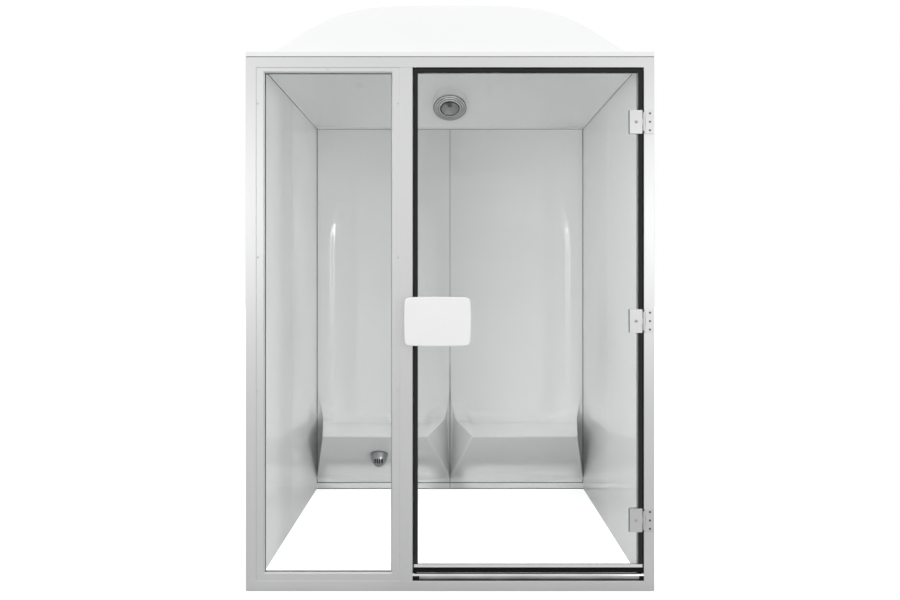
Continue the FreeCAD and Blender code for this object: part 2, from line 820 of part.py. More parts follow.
def hose_elbow(start, radius, spare):
    """Rod that leaves the thread, bends level and runs straight back, spare longer at both ends."""
    back = steam_placement().Rotation.inverted().multVec(Vector(0, 1, 0))
    down = Vector(0, 0, -1)
    bend = down.getAngle(back)
    first = Vector(0, 0, start)
    pivot = first - Vector(0, nipple_bend_radius, 0)
    last = pivot + Vector(0, math.cos(bend), -math.sin(bend)) * nipple_bend_radius
    disc = Part.Face(Part.Wire(Part.makeCircle(radius, first, down)))
    curve = disc.revolve(pivot, Vector(-1, 0, 0), math.degrees(bend))
    inlet = rod(first - down * spare, down, radius, spare)
    tail = rod(last, back, radius, nipple_hose_length + spare)
    return curve.fuse([inlet, tail]).removeSplitter()


def nipple_hole():
    """Hole in the left riser for the steam nipple."""
    hole = rod(Vector(0, 0, -overrun), Vector(0, 0, 1), nipple_radius + nipple_hole_clearance,
               overrun + overrun)
    return hole.transformed(steam_placement().toMatrix())


def shell_panels():
    """Side and back panels with seats, their gaskets and fasteners."""
    pans, boards = side_panels()
    for name, pan in zip(("front", "rear"), pans):
        save("side_panel_left_" + name, pan)
        save("side_panel_right_" + name, mirrored(pan))
    save("wall_insulation", *boards, *[mirrored(board) for board in boards])
    panel = back_panel()
    save("back_panel_right", panel)
    save("back_panel_left", mirrored(panel).cut(nipple_hole()))
    save("panel_seam_gaskets", *seam_gaskets())
    bolts, nuts, screws = seam_fasteners()
    save("seam_bolts", *bolts)
    save("seam_nuts", *nuts)
    save("frame_wall_screws", *screws)
    save("seat_gussets", *seat_gussets())
    for name, piece in steam_outlet().items():
        save(name, piece)


def blown_surface(half_x, half_y, base, rise):
    """Dome patch: height = rise (1 - (x/half_x)^4)(1 - (y/half_y)^4), exact as a Bezier patch."""
    lifts = (0, 2, 0, 2, 0)
    steps = len(lifts) - 1
    patch = Part.BezierSurface()
    patch.increase(steps, steps)
    for i, lift_x in enumerate(lifts):
        for j, lift_y in enumerate(lifts):
            x = half_x * (2 * i / steps - 1)
            y = room_middle_y + half_y * (2 * j / steps - 1)
            patch.setPole(i + 1, j + 1, Vector(x, y, base + rise * lift_x * lift_y))
    return patch.toShape()


def dome_drop():
    return Vector(0, 0, -dome_rise - roof_rim_height - overrun)


def roof_outside():
    """Dome and rim as one filled body."""
    half_y = (back_y - frame_back) / 2
    rim = block(-half_width, half_width, face_y, rear_y, roof_z, roof_top)
    outer = blown_surface(room_half + roof_skin, half_y + roof_skin, roof_top, dome_rise).extrude(dome_drop())
    keep = block(-half_width, half_width, face_y, rear_y, roof_z, roof_top + dome_rise + overrun)
    return outer.common(keep).fuse(rim).removeSplitter()


def roof(solid):
    """Dome and rim in one shell, with a flat boss and a hole for the ceiling light."""
    half_y = (back_y - frame_back) / 2
    inner = blown_surface(room_half, half_y, roof_top - roof_skin, dome_rise).extrude(dome_drop())
    matrix = light_placement().toMatrix()
    back = Vector(0, 0, -light_can_depth)
    inward = Vector(0, 0, 1)
    boss = rod(back, inward, light_radius + light_boss_margin, light_can_depth).transformed(matrix)
    hole = rod(back, inward, light_can_radius + light_can_clearance, light_can_depth + overrun)
    shell = solid.cut(inner).fuse(boss.common(solid)).removeSplitter()
    return shell.cut(hole.transformed(matrix))


def roof_gasket():
    """Flat ring between the roof's rim and the tops of the frame and walls."""
    inset = seam_gasket_inset
    ring = block(inset - half_width, half_width - inset, face_y + inset, rear_y - inset, frame_height, roof_z)
    hole = block(-room_half - inset, room_half + inset, frame_back - inset, back_y + inset,
                 frame_height, roof_z)
    return ring.cut(hole)


def dome_point(share):
    """Point inside the dome on the middle plane, at a share of the way to its back edge."""
    half_y = (back_y - frame_back) / 2
    return Vector(0, room_middle_y + share * half_y, roof_top - roof_skin + dome_rise * (1 - share ** 4))


def light_placement():
    """Frame of the ceiling light: on the dome's back slope and clear of it, local +Z into the room."""
    share = light_seat_share
    point = dome_point(share)
    fall = 4 * dome_rise * share ** 3 / ((back_y - frame_back) / 2)
    slope = math.atan(fall) - math.radians(light_ease)
    inward = Vector(0, -math.sin(slope), -math.cos(slope))
    across = Vector(1, 0, 0)
    up = inward.cross(across)
    turn = FreeCAD.Rotation(across, up, inward, "ZXY")
    lift = 0
    for step in range(light_fit_steps + 1):
        spot = dome_point(share + (1 - share) * step / light_fit_steps) - point
        if -spot.dot(up) <= light_radius + light_boss_margin:
            lift = max(lift, spot.dot(inward))
    return FreeCAD.Placement(point + inward * (lift + light_boss_clearance), turn)


def domed_lens(rim, seat, back):
    """Lens with a flat rim: two arcs about one centre, revolved."""
    sphere = (light_opening_radius ** 2 + light_lens_crown ** 2) / (2 * light_lens_crown)
    centre = seat + light_lens_crown - sphere
    arcs = []
    for radius, level in ((sphere, seat), (sphere - light_lens_thickness, back)):
        half = math.acos((level - centre) / radius)
        arcs.append([Vector(radius * math.sin(turn), 0, centre + radius * math.cos(turn))
                     for turn in (0, half / 2, half)])
    outer, inner = arcs
    corners = [outer[2], Vector(rim, 0, seat), Vector(rim, 0, back), inner[2]]
    edges = [Part.Arc(*outer).toShape()]
    edges += [Part.LineSegment(*ends).toShape() for ends in zip(corners, corners[1:])]
    edges += [Part.Arc(*reversed(inner)).toShape(), Part.LineSegment(inner[0], outer[0]).toShape()]
    return Part.Face(Part.Wire(edges)).revolve(Vector(0, 0, 0), Vector(0, 0, 1), 360)


def ceiling_light():
    """Recessed fitting: bezel, lens, reflector, lamp, can, gasket and blank of the lock ring."""
    flange = light_gasket_thickness
    front = flange + light_bezel_height
    can_outer = light_can_radius
    can_inner = can_outer - light_can_wall
    can_back = -light_can_depth
    can = turned([(cable_entry_radius, can_back, 0), (can_outer, can_back, 0), (can_outer, flange, 0),
                  (can_inner, flange, 0), (can_inner, can_back + light_can_wall, 0),
                  (cable_entry_radius, can_back + light_can_wall, 0)])
    gasket = turned(rectangle(can_outer + light_can_clearance,
                              can_outer + light_can_clearance + light_gasket_width, 0, flange))
    lens_seat = front - light_bezel_lip
    lens_radius = light_opening_radius + light_seat_width
    bezel = turned([(light_opening_radius, lens_seat, 0), (light_opening_radius, front, 0),
                    (light_radius, flange + light_bezel_lip, light_bezel_lip), (light_radius, flange, 0),
                    (can_inner, flange, 0), (can_inner, flange + light_bezel_lip, 0),
                    (lens_radius, flange + light_bezel_lip, 0), (lens_radius, lens_seat, 0)])
    lens_back = lens_seat - light_lens_thickness
    lens = domed_lens(lens_radius, lens_seat, lens_back)
    wall = light_reflector_wall
    rim = can_inner - light_can_clearance
    deep = lens_back - light_reflector_depth
    bowl_outer = [(light_reflector_neck, deep, 0), (rim, lens_back - wall, 0), (rim, lens_back, 0),
                  (rim - wall, lens_back, 0), (light_reflector_neck, deep + wall + wall, 0)]
    reflector = turned(bowl_outer)
    lamp_base = can_back + light_can_wall
    lamp_top = deep + light_lamp_length
    lamp = turned([(0, lamp_base, 0), (light_lamp_radius, lamp_base, 0),
                   (light_lamp_radius, lamp_top, light_lamp_radius / 2), (0, lamp_top, 0)])
    entry = rod(Vector(0, 0, lamp_base), Vector(0, 0, 1), cable_entry_radius,
                light_can_wall + light_can_wall)
    ring = turned(rectangle(can_outer + nut_clearance, can_outer + light_ring_width, -light_ring_height, 0))
    pieces = {"light_bezel": bezel, "light_lens": lens, "light_reflector": reflector,
              "light_lamp": lamp.cut(entry), "light_can": can, "light_gasket": gasket,
              "light_lock_ring": ring}
    matrix = light_placement().toMatrix()
    return {name: piece.transformed(matrix) for name, piece in pieces.items()}


def roof_and_light():
    """Roof, and the light whose lock ring is a wedge shaped to the outside of the dome."""
    solid = roof_outside()
    save("roof_dome", roof(solid))
    save("roof_gasket", roof_gasket())
    pieces = ceiling_light()
    pieces["light_lock_ring"] = pieces["light_lock_ring"].cut(solid)
    for name, piece in pieces.items():
        save(name, piece)


def knuckle(height, low):
    """One hinge barrel about the pin, from low for one knuckle length."""
    return rod(Vector(hinge_x, hinge_y, height + low), Vector(0, 0, 1), knuckle_radius, knuckle_length)


def knuckle_lows():
    """Lower ends of the bottom, middle and top knuckles, from the hinge's centre."""
    step = knuckle_length + knuckle_gap
    return [share * step - knuckle_length / 2 for share in (-1, 0, 1)]


def pin_bore(height):
    """Running hole for the hinge pin through all three knuckles."""
    base = Vector(hinge_x, hinge_y, height - hinge_height / 2)
    return rod(base, Vector(0, 0, 1), pin_radius + pin_clearance, hinge_height)


def leaf_screws(height):
    """Countersunk screws of one frame leaf."""
    front = face_y - hinge_plate_thickness
    inward = Vector(0, 1, 0)
    screws = []
    for step in (-1, 0, 1):
        base = Vector(hinge_x + leaf_screw_inset, front, height + step * leaf_screw_pitch)
        head = Part.makeCone(leaf_screw_head_radius, leaf_screw_radius, leaf_screw_head_depth, base, inward)
        shank = rod(base, inward, leaf_screw_radius, leaf_screw_length)
        screws.append(head.fuse(shank).removeSplitter())
    return screws


def frame_leaf(height):
    """Leaf on the stile's face with the outer two knuckles."""
    low = height - hinge_height / 2
    left = hinge_x + leaf_edge_gap
    plate = slab(rectangle(left, left + leaf_width, low, low + hinge_height, hinge_corner_radius),
                 face_y - hinge_plate_thickness, hinge_plate_thickness)
    bottom, middle, top = knuckle_lows()
    relief = rod(Vector(hinge_x, hinge_y, height + middle - knuckle_gap), Vector(0, 0, 1),
                 knuckle_radius + knuckle_relief, knuckle_length + knuckle_gap + knuckle_gap)
    leaf = plate.cut(relief)
    for start in (bottom, top):
        leaf = leaf.fuse(knuckle(height, start))
    leaf = leaf.removeSplitter().cut(pin_bore(height))
    for screw in leaf_screws(height):
        leaf = leaf.cut(screw)
    return leaf


# Layers of a hinge clamp, from its front face to the backing plate
clamp_front = glass_y - clamp_pad - hinge_plate_thickness
clamp_right = hinge_x - clamp_edge_gap
clamp_left = hinge_x - clamp_width
clamp_back_right = clamp_left + clamp_back_width
clamp_screw_x = hinge_x - clamp_screw_inset


def door_clamp(height):
    """Outer clamp plate with the middle knuckle."""
    low = height - hinge_height / 2
    plate = slab(rectangle(clamp_left, clamp_right, low, low + hinge_height, hinge_corner_radius),
                 clamp_front, hinge_plate_thickness)
    middle = knuckle_lows()[1]
    web = block(clamp_right - knuckle_radius, hinge_x, clamp_front, hinge_y + knuckle_radius,
                height + middle, height + middle + knuckle_length)
    clamp = plate.fuse([web, knuckle(height, middle)]).removeSplitter()
    return clamp.cut(pin_bore(height)).cut(clamp_screw(height))


def clamp_screw(height):
    """Screw that pulls the clamp, the glass and the backing plate together."""
    inward = Vector(0, 1, 0)
    base = Vector(clamp_screw_x, clamp_front, height)
    stack = hinge_plate_thickness + clamp_pad
    length = stack + glass_thickness + stack
    head = rod(base - inward * clamp_screw_head_height, inward, clamp_screw_head_radius,
               clamp_screw_head_height)
    return head.fuse(rod(base, inward, clamp_screw_radius, length)).removeSplitter()


def clamp_pads(height):
    """Rubber pads on both faces of the glass."""
    low = height - hinge_height / 2
    pads = []
    for right, y in ((glass_right, glass_y - clamp_pad), (clamp_back_right, glass_back)):
        pad = slab(rectangle(clamp_left, right, low, low + hinge_height, hinge_corner_radius), y, clamp_pad)
        pads.append(pad.cut(clamp_screw(height)))
    return pads


def backing_plate(height):
    """Inner clamp plate, kept clear of the door stop."""
    low = height - hinge_height / 2
    plate = slab(rectangle(clamp_left, clamp_back_right, low, low + hinge_height, hinge_corner_radius),
                 glass_back + clamp_pad, hinge_plate_thickness)
    return plate.cut(clamp_screw(height))


def hinges():
    """Three hinges: leaves and pins on the frame, clamps on the door."""
    for name, height in hinge_heights.items():
        save("hinge_leaf_" + name, frame_leaf(height))
        save("hinge_clamp_" + name, door_clamp(height))
    heights = list(hinge_heights.values())
    low = knuckle_lows()[0]
    save("hinge_pins", *[rod(Vector(hinge_x, hinge_y, z + low), Vector(0, 0, 1), pin_radius, -low - low)
                         for z in heights])
    save("hinge_leaf_screws", *[screw for z in heights for screw in leaf_screws(z)])
    save("hinge_backing_plates", *[backing_plate(z) for z in heights])
    save("clamp_screws", *[clamp_screw(z) for z in heights])


def stud_places():
    """Centres of the handle's two through-studs in X and Z."""
    x = handle_left + handle_width * post_inset_share
    return [(x, handle_centre_height + side * post_pitch / 2) for side in (-1, 1)]


def door_glass():
    """Toughened sheet with holes for the hinge screws and the handle studs."""
    sheet = slab(rectangle(glass_left, glass_right, glass_bottom, glass_top, door_corner_radius),
                 glass_y, glass_thickness)
    places = [(clamp_screw_x, z) for z in hinge_heights.values()] + stud_places()
    for x, z in places:
        sheet = sheet.cut(rod(Vector(x, glass_y, z), Vector(0, 1, 0), glass_hole_radius, glass_thickness))
    return sheet


def seal_section(edge, outward):
    """U-shaped rubber over a glass edge: corners across the door and in depth."""
    outer = edge + outward * seal_web
    inner = outer - outward * seal_face
    front = glass_y - seal_leg
    back = glass_back + seal_leg
    return [(outer, front, seal_leg / 2), (outer, back, seal_leg / 2), (inner, back, 0),
            (inner, glass_back, 0), (edge, glass_back, 0), (edge, glass_y, 0), (inner, glass_y, 0),
            (inner, front, 0)]


def door_seals():
    """Rubber edging on the latch side, across the head, and between the hinges."""
    bottom = channel_bottom + channel_height
    top = glass_top + seal_web
    seals = [post(seal_section(glass_left, -1), bottom, top - bottom)]
    half = hinge_height / 2 + clamp_pad
    starts = [bottom] + [z + half for z in sorted(hinge_heights.values())]
    ends = [z - half for z in sorted(hinge_heights.values())] + [top]
    for start, end in zip(starts, ends):
        seals.append(post(seal_section(glass_right, 1), start, end - start))
    across = [(v, u, radius) for u, v, radius in seal_section(glass_top, 1)]
    inset = seal_face - seal_web
    left = glass_left + inset
    seals.append(bar(across, left, glass_right - inset - left))
    return seals


def bottom_channel():
    """Aluminium U that grips the lower edge of the glass."""
    front = glass_y - channel_leg
    back = glass_back + channel_leg
    top = channel_bottom + channel_height
    section = [(front, channel_bottom, 0), (back, channel_bottom, 0), (back, top, 0), (glass_back, top, 0),
               (glass_back, glass_bottom, 0), (glass_y, glass_bottom, 0), (glass_y, top, 0), (front, top, 0)]
    left = door_left + channel_end_gap
    channel = bar(section, left, door_right - channel_end_gap - left)
    return channel.cut(glass_corner_relief())


def glass_corner_relief():
    """The sheet's own outline, so that the channel closes round its rounded lower corners."""
    return slab(rectangle(glass_left, glass_right, glass_bottom, glass_top), glass_y, glass_thickness)


def sweep():
    """Black wiper under the channel, with two lips over the threshold."""
    middle = glass_y + glass_thickness / 2
    front = middle - sweep_thickness / 2
    back = middle + sweep_thickness / 2
    low = channel_bottom - sweep_height
    lip = (sweep_thickness - sweep_notch) / 2
    section = [(front, channel_bottom, 0), (front, low, lip / 2), (front + lip, low, 0),
               (front + lip, low + sweep_notch, 0), (back - lip, low + sweep_notch, 0), (back - lip, low, 0),
               (back, low, lip / 2), (back, channel_bottom, 0)]
    left = door_left + channel_end_gap
    return bar(section, left, door_right - channel_end_gap - left)


def bowed_rectangle(left, width, height):
    """Corners of a handle plate whose four sides swell a little in the middle."""
    middle = Vector(left + width / 2, handle_centre_height, 0)
    half = (width / 2, height / 2)
    bends = [handle_bow_share * length ** 2 / handle_bow for length in half]
    corners = []
    for u, v in ((-1, -1), (0, -1), (1, -1), (1, 0), (1, 1), (0, 1), (-1, 1), (-1, 0)):
        inset = handle_bow if u and v else 0
        radius = handle_corner_radius if u and v else bends[0 if v else 1]
        corners.append((middle.x + u * (half[0] - inset), middle.y + v * (half[1] - inset), radius))
    return corners


def rounded_plate(left, width, height, y, thickness, front_first):
    """Plate with round corners and a softened edge on the face that shows."""
    plate = slab(bowed_rectangle(left, width, height), y, thickness)
    show = y if front_first else y + thickness
    rim = [edge for edge in plate.Edges if all(abs(v.Point.y - show) < match for v in edge.Vertexes)]
    return plate.makeFillet(handle_edge_radius, rim)


def handles():
    """Outer plate, inner pull, posts and studs, and the rubber pads of all fittings on the glass."""
    inward = Vector(0, 1, 0)
    plate_back = glass_y - handle_standoff
    pull_front = glass_back + pull_standoff
    plate = rounded_plate(handle_left, handle_width, handle_height, plate_back - handle_thickness,
                          handle_thickness, True)
    pull_left = stud_places()[0][0] - pull_width / 2
    pull = rounded_plate(pull_left, pull_width, pull_height, pull_front, pull_thickness, False)
    posts = []
    pads = []
    studs = []
    for x, z in stud_places():
        start = Vector(x, plate_back - stud_cover, z)
        length = handle_standoff + glass_thickness + pull_standoff + stud_cover + stud_cover
        bore = rod(start, inward, stud_radius + stud_clearance, length)
        studs.append(rod(start, inward, stud_radius, length))
        outer = rod(Vector(x, plate_back, z), inward, post_radius, handle_standoff - post_pad)
        inner = rod(Vector(x, glass_back + post_pad, z), inward, post_radius, pull_standoff - post_pad)
        posts += [outer.cut(bore), inner.cut(bore)]
        for y in (glass_y - post_pad, glass_back):
            pads.append(rod(Vector(x, y, z), inward, post_radius, post_pad).cut(bore))
        plate = plate.cut(bore)
        pull = pull.cut(bore)
    save("handle_plate", plate)
    save("handle_pull", pull)
    save("handle_posts", *posts)
    save("handle_studs", *studs)
    clamps = [pad for z in hinge_heights.values() for pad in clamp_pads(z)]
    save("glass_pads", *clamps, *pads)


def door():
    """Door leaf with its rubber edges, bottom channel and handles, and what it closes on."""
    save("door_glass", door_glass())
    save("door_seals", *door_seals())
    save("door_bottom_channel", bottom_channel())
    save("door_sweep", sweep())
    handles()
    gaskets, magnet = stop_gaskets()
    save("door_stop_gaskets", *gaskets)
    save("latch_magnet", magnet)
    save("threshold_bar", threshold_bar())


def main():
    os.makedirs("parts", exist_ok=True)
    front_frame()
    shell_panels()
    roof_and_light()
    hinges()
    door()


main()
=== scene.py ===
# %% [markdown]
# # A steam shower cabin in white acrylic, aluminium and glass
# The cabin is a room of moulded panels behind a glass front. The construction arrives as a
# fixed frame of named nodes. This lesson gives each node its finish, and works out the moulded
# back panels and the small fittings again as finer surfaces.

# %% Load the frame
import json
import math

import bmesh
import bpy
import numpy as np
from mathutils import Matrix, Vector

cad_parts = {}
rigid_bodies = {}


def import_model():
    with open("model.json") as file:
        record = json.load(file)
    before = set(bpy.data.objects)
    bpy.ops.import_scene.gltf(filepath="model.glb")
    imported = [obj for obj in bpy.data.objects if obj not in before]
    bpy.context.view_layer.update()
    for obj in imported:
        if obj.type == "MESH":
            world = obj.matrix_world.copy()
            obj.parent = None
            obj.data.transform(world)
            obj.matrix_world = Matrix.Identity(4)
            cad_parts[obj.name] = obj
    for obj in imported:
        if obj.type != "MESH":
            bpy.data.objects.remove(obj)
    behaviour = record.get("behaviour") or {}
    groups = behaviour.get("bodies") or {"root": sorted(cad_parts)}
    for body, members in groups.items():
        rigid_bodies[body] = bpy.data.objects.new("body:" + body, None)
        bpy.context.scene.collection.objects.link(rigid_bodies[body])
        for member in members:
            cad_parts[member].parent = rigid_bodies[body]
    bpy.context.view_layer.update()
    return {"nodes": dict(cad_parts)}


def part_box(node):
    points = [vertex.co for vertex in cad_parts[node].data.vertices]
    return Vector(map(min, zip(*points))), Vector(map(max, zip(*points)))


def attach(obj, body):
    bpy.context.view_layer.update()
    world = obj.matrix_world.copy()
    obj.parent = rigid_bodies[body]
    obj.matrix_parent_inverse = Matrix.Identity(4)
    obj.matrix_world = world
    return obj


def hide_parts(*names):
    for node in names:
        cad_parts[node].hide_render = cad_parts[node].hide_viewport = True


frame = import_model()
nodes = frame["nodes"]

# %% [markdown]
# ## The camera
# The photograph is level and square to the front, and its vanishing point lies a little above
# the middle of the picture. A level camera with a small vertical shift gives that view without
# tilting the uprights.

# %% Place the camera
picture_width = 900
focal_pixels = 809
vanishing_row = 278
middle_row = 300
sensor_width = 36
eye_height = 1.2265
eye_to_front = 3.1665
front_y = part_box("frame_sill")[0].y

camera_data = bpy.data.cameras.new("camera")
camera_data.sensor_width = sensor_width
camera_data.lens = sensor_width * focal_pixels / picture_width
camera_data.shift_y = (vanishing_row - middle_row) / picture_width
camera = bpy.data.objects.new("camera", camera_data)
camera.location = (0, front_y - eye_to_front, eye_height)
camera.rotation_euler = (math.pi / 2, 0, 0)
bpy.context.scene.collection.objects.link(camera)
bpy.context.scene.camera = camera
bpy.context.scene.view_settings.view_transform = "Standard"
print("camera at", tuple(camera.location), "lens", round(camera_data.lens, 2))

# %% [markdown]
# ## Helpers for finishes
# Every finish is one Principled shader. Constant values go straight on its sockets, and noise
# on Object coordinates adds what the hand and the tool leave: grain, orange peel and dust.


# %% Helpers for node materials
def new_finish(name, colour, roughness, metallic=0.0):
    """A material with one Principled shader and its constant sockets set."""
    finish = bpy.data.materials.new(name)
    finish.use_nodes = True
    shader = finish.node_tree.nodes["Principled BSDF"]
    shader.inputs["Base Color"].default_value = (*colour, 1)
    shader.inputs["Roughness"].default_value = roughness
    shader.inputs["Metallic"].default_value = metallic
    return finish, shader


def even(scale):
    """The same scale along X, Y and Z."""
    return (scale, scale, scale)


def shaded(colour, share):
    """A colour with each of its parts times a share."""
    return tuple(share * part for part in colour)


def noise(finish, stretch, detail=3.0):
    """Noise on Object coordinates, with a scale in cells per metre along X, Y and Z."""
    tree = finish.node_tree
    place = tree.nodes.new("ShaderNodeTexCoord")
    mapping = tree.nodes.new("ShaderNodeMapping")
    mapping.inputs["Scale"].default_value = stretch
    grain = tree.nodes.new("ShaderNodeTexNoise")
    grain.inputs["Scale"].default_value = 1
    grain.inputs["Detail"].default_value = detail
    tree.links.new(place.outputs["Object"], mapping.inputs["Vector"])
    tree.links.new(mapping.outputs["Vector"], grain.inputs["Vector"])
    return grain.outputs["Fac"]


def coordinate(finish, axis):
    """One Object coordinate, X, Y or Z, in metres."""
    tree = finish.node_tree
    place = tree.nodes.new("ShaderNodeTexCoord")
    split = tree.nodes.new("ShaderNodeSeparateXYZ")
    tree.links.new(place.outputs["Object"], split.inputs["Vector"])
    return split.outputs[axis]


def calculate(finish, operation, *values):
    """One step of arithmetic on numbers and on the outputs of other nodes."""
    tree = finish.node_tree
    step = tree.nodes.new("ShaderNodeMath")
    step.operation = operation
    for socket, value in zip(step.inputs, values):
        if isinstance(value, (int, float)):
            socket.default_value = value
        else:
            tree.links.new(value, socket)
    return step.outputs["Value"]


# %% Helpers that carry a value on to the shader
def vary(finish, source, socket, low, high):
    """Carry a 0 to 1 value on to a number socket, between low and high."""
    tree = finish.node_tree
    spread = tree.nodes.new("ShaderNodeMapRange")
    spread.inputs["To Min"].default_value = low
    spread.inputs["To Max"].default_value = high
    tree.links.new(source, spread.inputs["Value"])
    tree.links.new(spread.outputs["Result"], socket)


def tint(finish, source, shader, dark, light):
    """Carry a 0 to 1 value on to the base colour, between two colours."""
    tree = finish.node_tree
    ramp = tree.nodes.new("ShaderNodeValToRGB")
    ramp.color_ramp.elements[0].color = (*dark, 1)
    ramp.color_ramp.elements[1].color = (*light, 1)
    tree.links.new(source, ramp.inputs["Fac"])
    tree.links.new(ramp.outputs["Color"], shader.inputs["Base Color"])


def bump(finish, source, shader, strength, distance):
    """Press a 0 to 1 value into the surface as fine relief."""
    tree = finish.node_tree
    relief = tree.nodes.new("ShaderNodeBump")
    relief.inputs["Strength"].default_value = strength
    relief.inputs["Distance"].default_value = distance
    tree.links.new(source, relief.inputs["Height"])
    tree.links.new(relief.outputs["Normal"], shader.inputs["Normal"])


# %% [markdown]
# ## Metal finishes
# The front is satin aluminium, drawn along its length, so its grain runs along each bar. The
# threshold is polished, the hinges are satin steel and the handle's posts are chrome. Grain is
# noise stretched a hundred times along the bar, which moves the roughness a little and is
# pressed in faintly as relief.

# %% Satin, polished and chromed metal
grain_shade = 0.96
grain_strength = 0.12
grain_depth = 0.0002


def brushed_metal(name, colour, roughness, stretch, spread=0.08):
    """Metal with grain: stretched noise on roughness, colour and relief."""
    finish, shader = new_finish(name, colour, roughness, 1.0)
    grain = noise(finish, stretch)
    vary(finish, grain, shader.inputs["Roughness"], roughness - spread, roughness + spread)
    tint(finish, grain, shader, shaded(colour, grain_shade), colour)
    bump(finish, grain, shader, grain_strength, grain_depth)
    return finish


grain_fine = 900.0
grain_long = 6.0
grain_upright = (grain_fine, grain_fine, grain_long)
grain_level = (grain_long, grain_fine, grain_fine)
aluminium_colour = (0.69, 0.692, 0.694)
threshold_colour = (0.68, 0.68, 0.685)
satin = 0.42
polish = 0.12
polish_spread = 0.03
upright_aluminium = brushed_metal("aluminium_upright", aluminium_colour, satin, grain_upright)
level_aluminium = brushed_metal("aluminium_level", aluminium_colour, satin, grain_level)
polished_aluminium = brushed_metal("aluminium_polished", threshold_colour, polish, grain_level,
                                   polish_spread)
channel_aluminium = brushed_metal("aluminium_channel", (0.94, 0.94, 0.945), polish, grain_level,
                                  polish_spread)
hinge_steel = brushed_metal("hinge_steel", (0.64, 0.64, 0.64), 0.40, grain_upright)
fastener_steel = brushed_metal("fastener_steel", (0.50, 0.51, 0.53), 0.32, even(400.0))
chrome = brushed_metal("chrome", (0.80, 0.81, 0.82), 0.07, even(60.0), 0.02)
brass = brushed_metal("brass", (0.74, 0.57, 0.26), 0.28, even(500.0))
hood_steel = brushed_metal("hood_steel", (0.34, 0.345, 0.35), 0.32, even(200.0))
print("metals:", len(bpy.data.materials))

# %% [markdown]
# ## Painted shade on the threshold
# The threshold bar is painted darker along its lower edge, as painted shade and a painted dark
# reflection under its polished nose. A second colour could be painted on a map, but the height
# above the bar's foot already says where the dark band lies, and long noise makes its border uneven.

# %% Painted shade on the threshold bar
# Colour of the painted shade and painted dark reflection on the threshold's foot
painted_shade_colour = (0.03, 0.03, 0.032)
painted_shade_height = 0.021
painted_shade_border = 0.5
painted_shade_grain = (9.0, 1.0, 40.0)


def shade_painted_foot(finish, colour, low):
    """Paint shade on a bar towards its foot: darker by height above low, made uneven by long noise."""
    tree = finish.node_tree
    height = tree.nodes.new("ShaderNodeMapRange")
    height.inputs["From Min"].default_value = low
    height.inputs["From Max"].default_value = low + painted_shade_height
    tree.links.new(coordinate(finish, "Z"), height.inputs["Value"])
    grain = noise(finish, painted_shade_grain, 2.0)
    uneven = calculate(finish, "MULTIPLY_ADD", grain, painted_shade_border, height.outputs["Result"])
    level = calculate(finish, "SUBTRACT", uneven, painted_shade_border / 2)
    tint(finish, level, tree.nodes["Principled BSDF"], painted_shade_colour, colour)


bar_low, bar_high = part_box("threshold_bar")
shade_painted_foot(polished_aluminium, threshold_colour, bar_low.z)
# The print gives where the painted shade on the bar starts and how high it reaches
print("threshold stained from", round(bar_low.z, 4), "up by", painted_shade_height)

# %% [markdown]
# ## White acrylic
# The panels are vacuum-formed acrylic on a sprayed backing. The room side is glossy with a faint
# orange peel, and the outer side is matt and fibrous. The back panels are drawn as two surfaces,
# one for each side. A side panel is one node that carries both, so a mask on the distance from
# the room's middle picks the side.

# %% Acrylic and plastic
acrylic_ior = 1.49
mottle_shade = 0.985
mottle_gloss = (0.85, 1.15)


def gloss_acrylic(name, colour, roughness):
    """Gloss acrylic: very faint large mottling and orange peel."""
    finish, shader = new_finish(name, colour, roughness)
    shader.inputs["IOR"].default_value = acrylic_ior
    mottle = noise(finish, even(3.0), 2.0)
    tint(finish, mottle, shader, shaded(colour, mottle_shade), colour)
    shiny, dull = (roughness * share for share in mottle_gloss)
    vary(finish, mottle, shader.inputs["Roughness"], shiny, dull)
    bump(finish, noise(finish, even(55.0), 1.0), shader, 0.02, 0.0006)
    return finish


acrylic_white = (0.80, 0.805, 0.805)
room_gloss = 0.05
room_acrylic = gloss_acrylic("room_acrylic", acrylic_white, room_gloss)
# The dome is the same white acrylic as the panels, made paler: painted light on the dome
dome_acrylic = gloss_acrylic("dome_acrylic", (0.92, 0.925, 0.925), 0.3)
handle_white = gloss_acrylic("handle_white", (0.92, 0.92, 0.92), 0.32)
can_enamel = gloss_acrylic("can_enamel", (0.78, 0.78, 0.78), 0.35)
ring_plastic = gloss_acrylic("ring_plastic", (0.42, 0.42, 0.43), 0.5)
lamp_bulb = gloss_acrylic("lamp_bulb", (0.03, 0.03, 0.03), 0.6)
print("finishes with the acrylics:", len(bpy.data.materials))


# %% Sprayed backing
def fibre(finish):
    """Coarse fibrous noise, as a sprayed backing has."""
    return noise(finish, even(90.0), 8.0)


def fibre_backing(name, colour):
    """Sprayed backing: coarse fibrous relief and a blotchy, matt colour."""
    finish, shader = new_finish(name, colour, 0.75)
    strands = fibre(finish)
    tint(finish, strands, shader, shaded(colour, 0.86), colour)
    vary(finish, strands, shader.inputs["Roughness"], 0.65, 0.9)
    bump(finish, strands, shader, 0.5, 0.0015)
    return finish


spray_colour = (0.66, 0.66, 0.63)
spray_roughness = 0.7
wall_skin = 0.7755


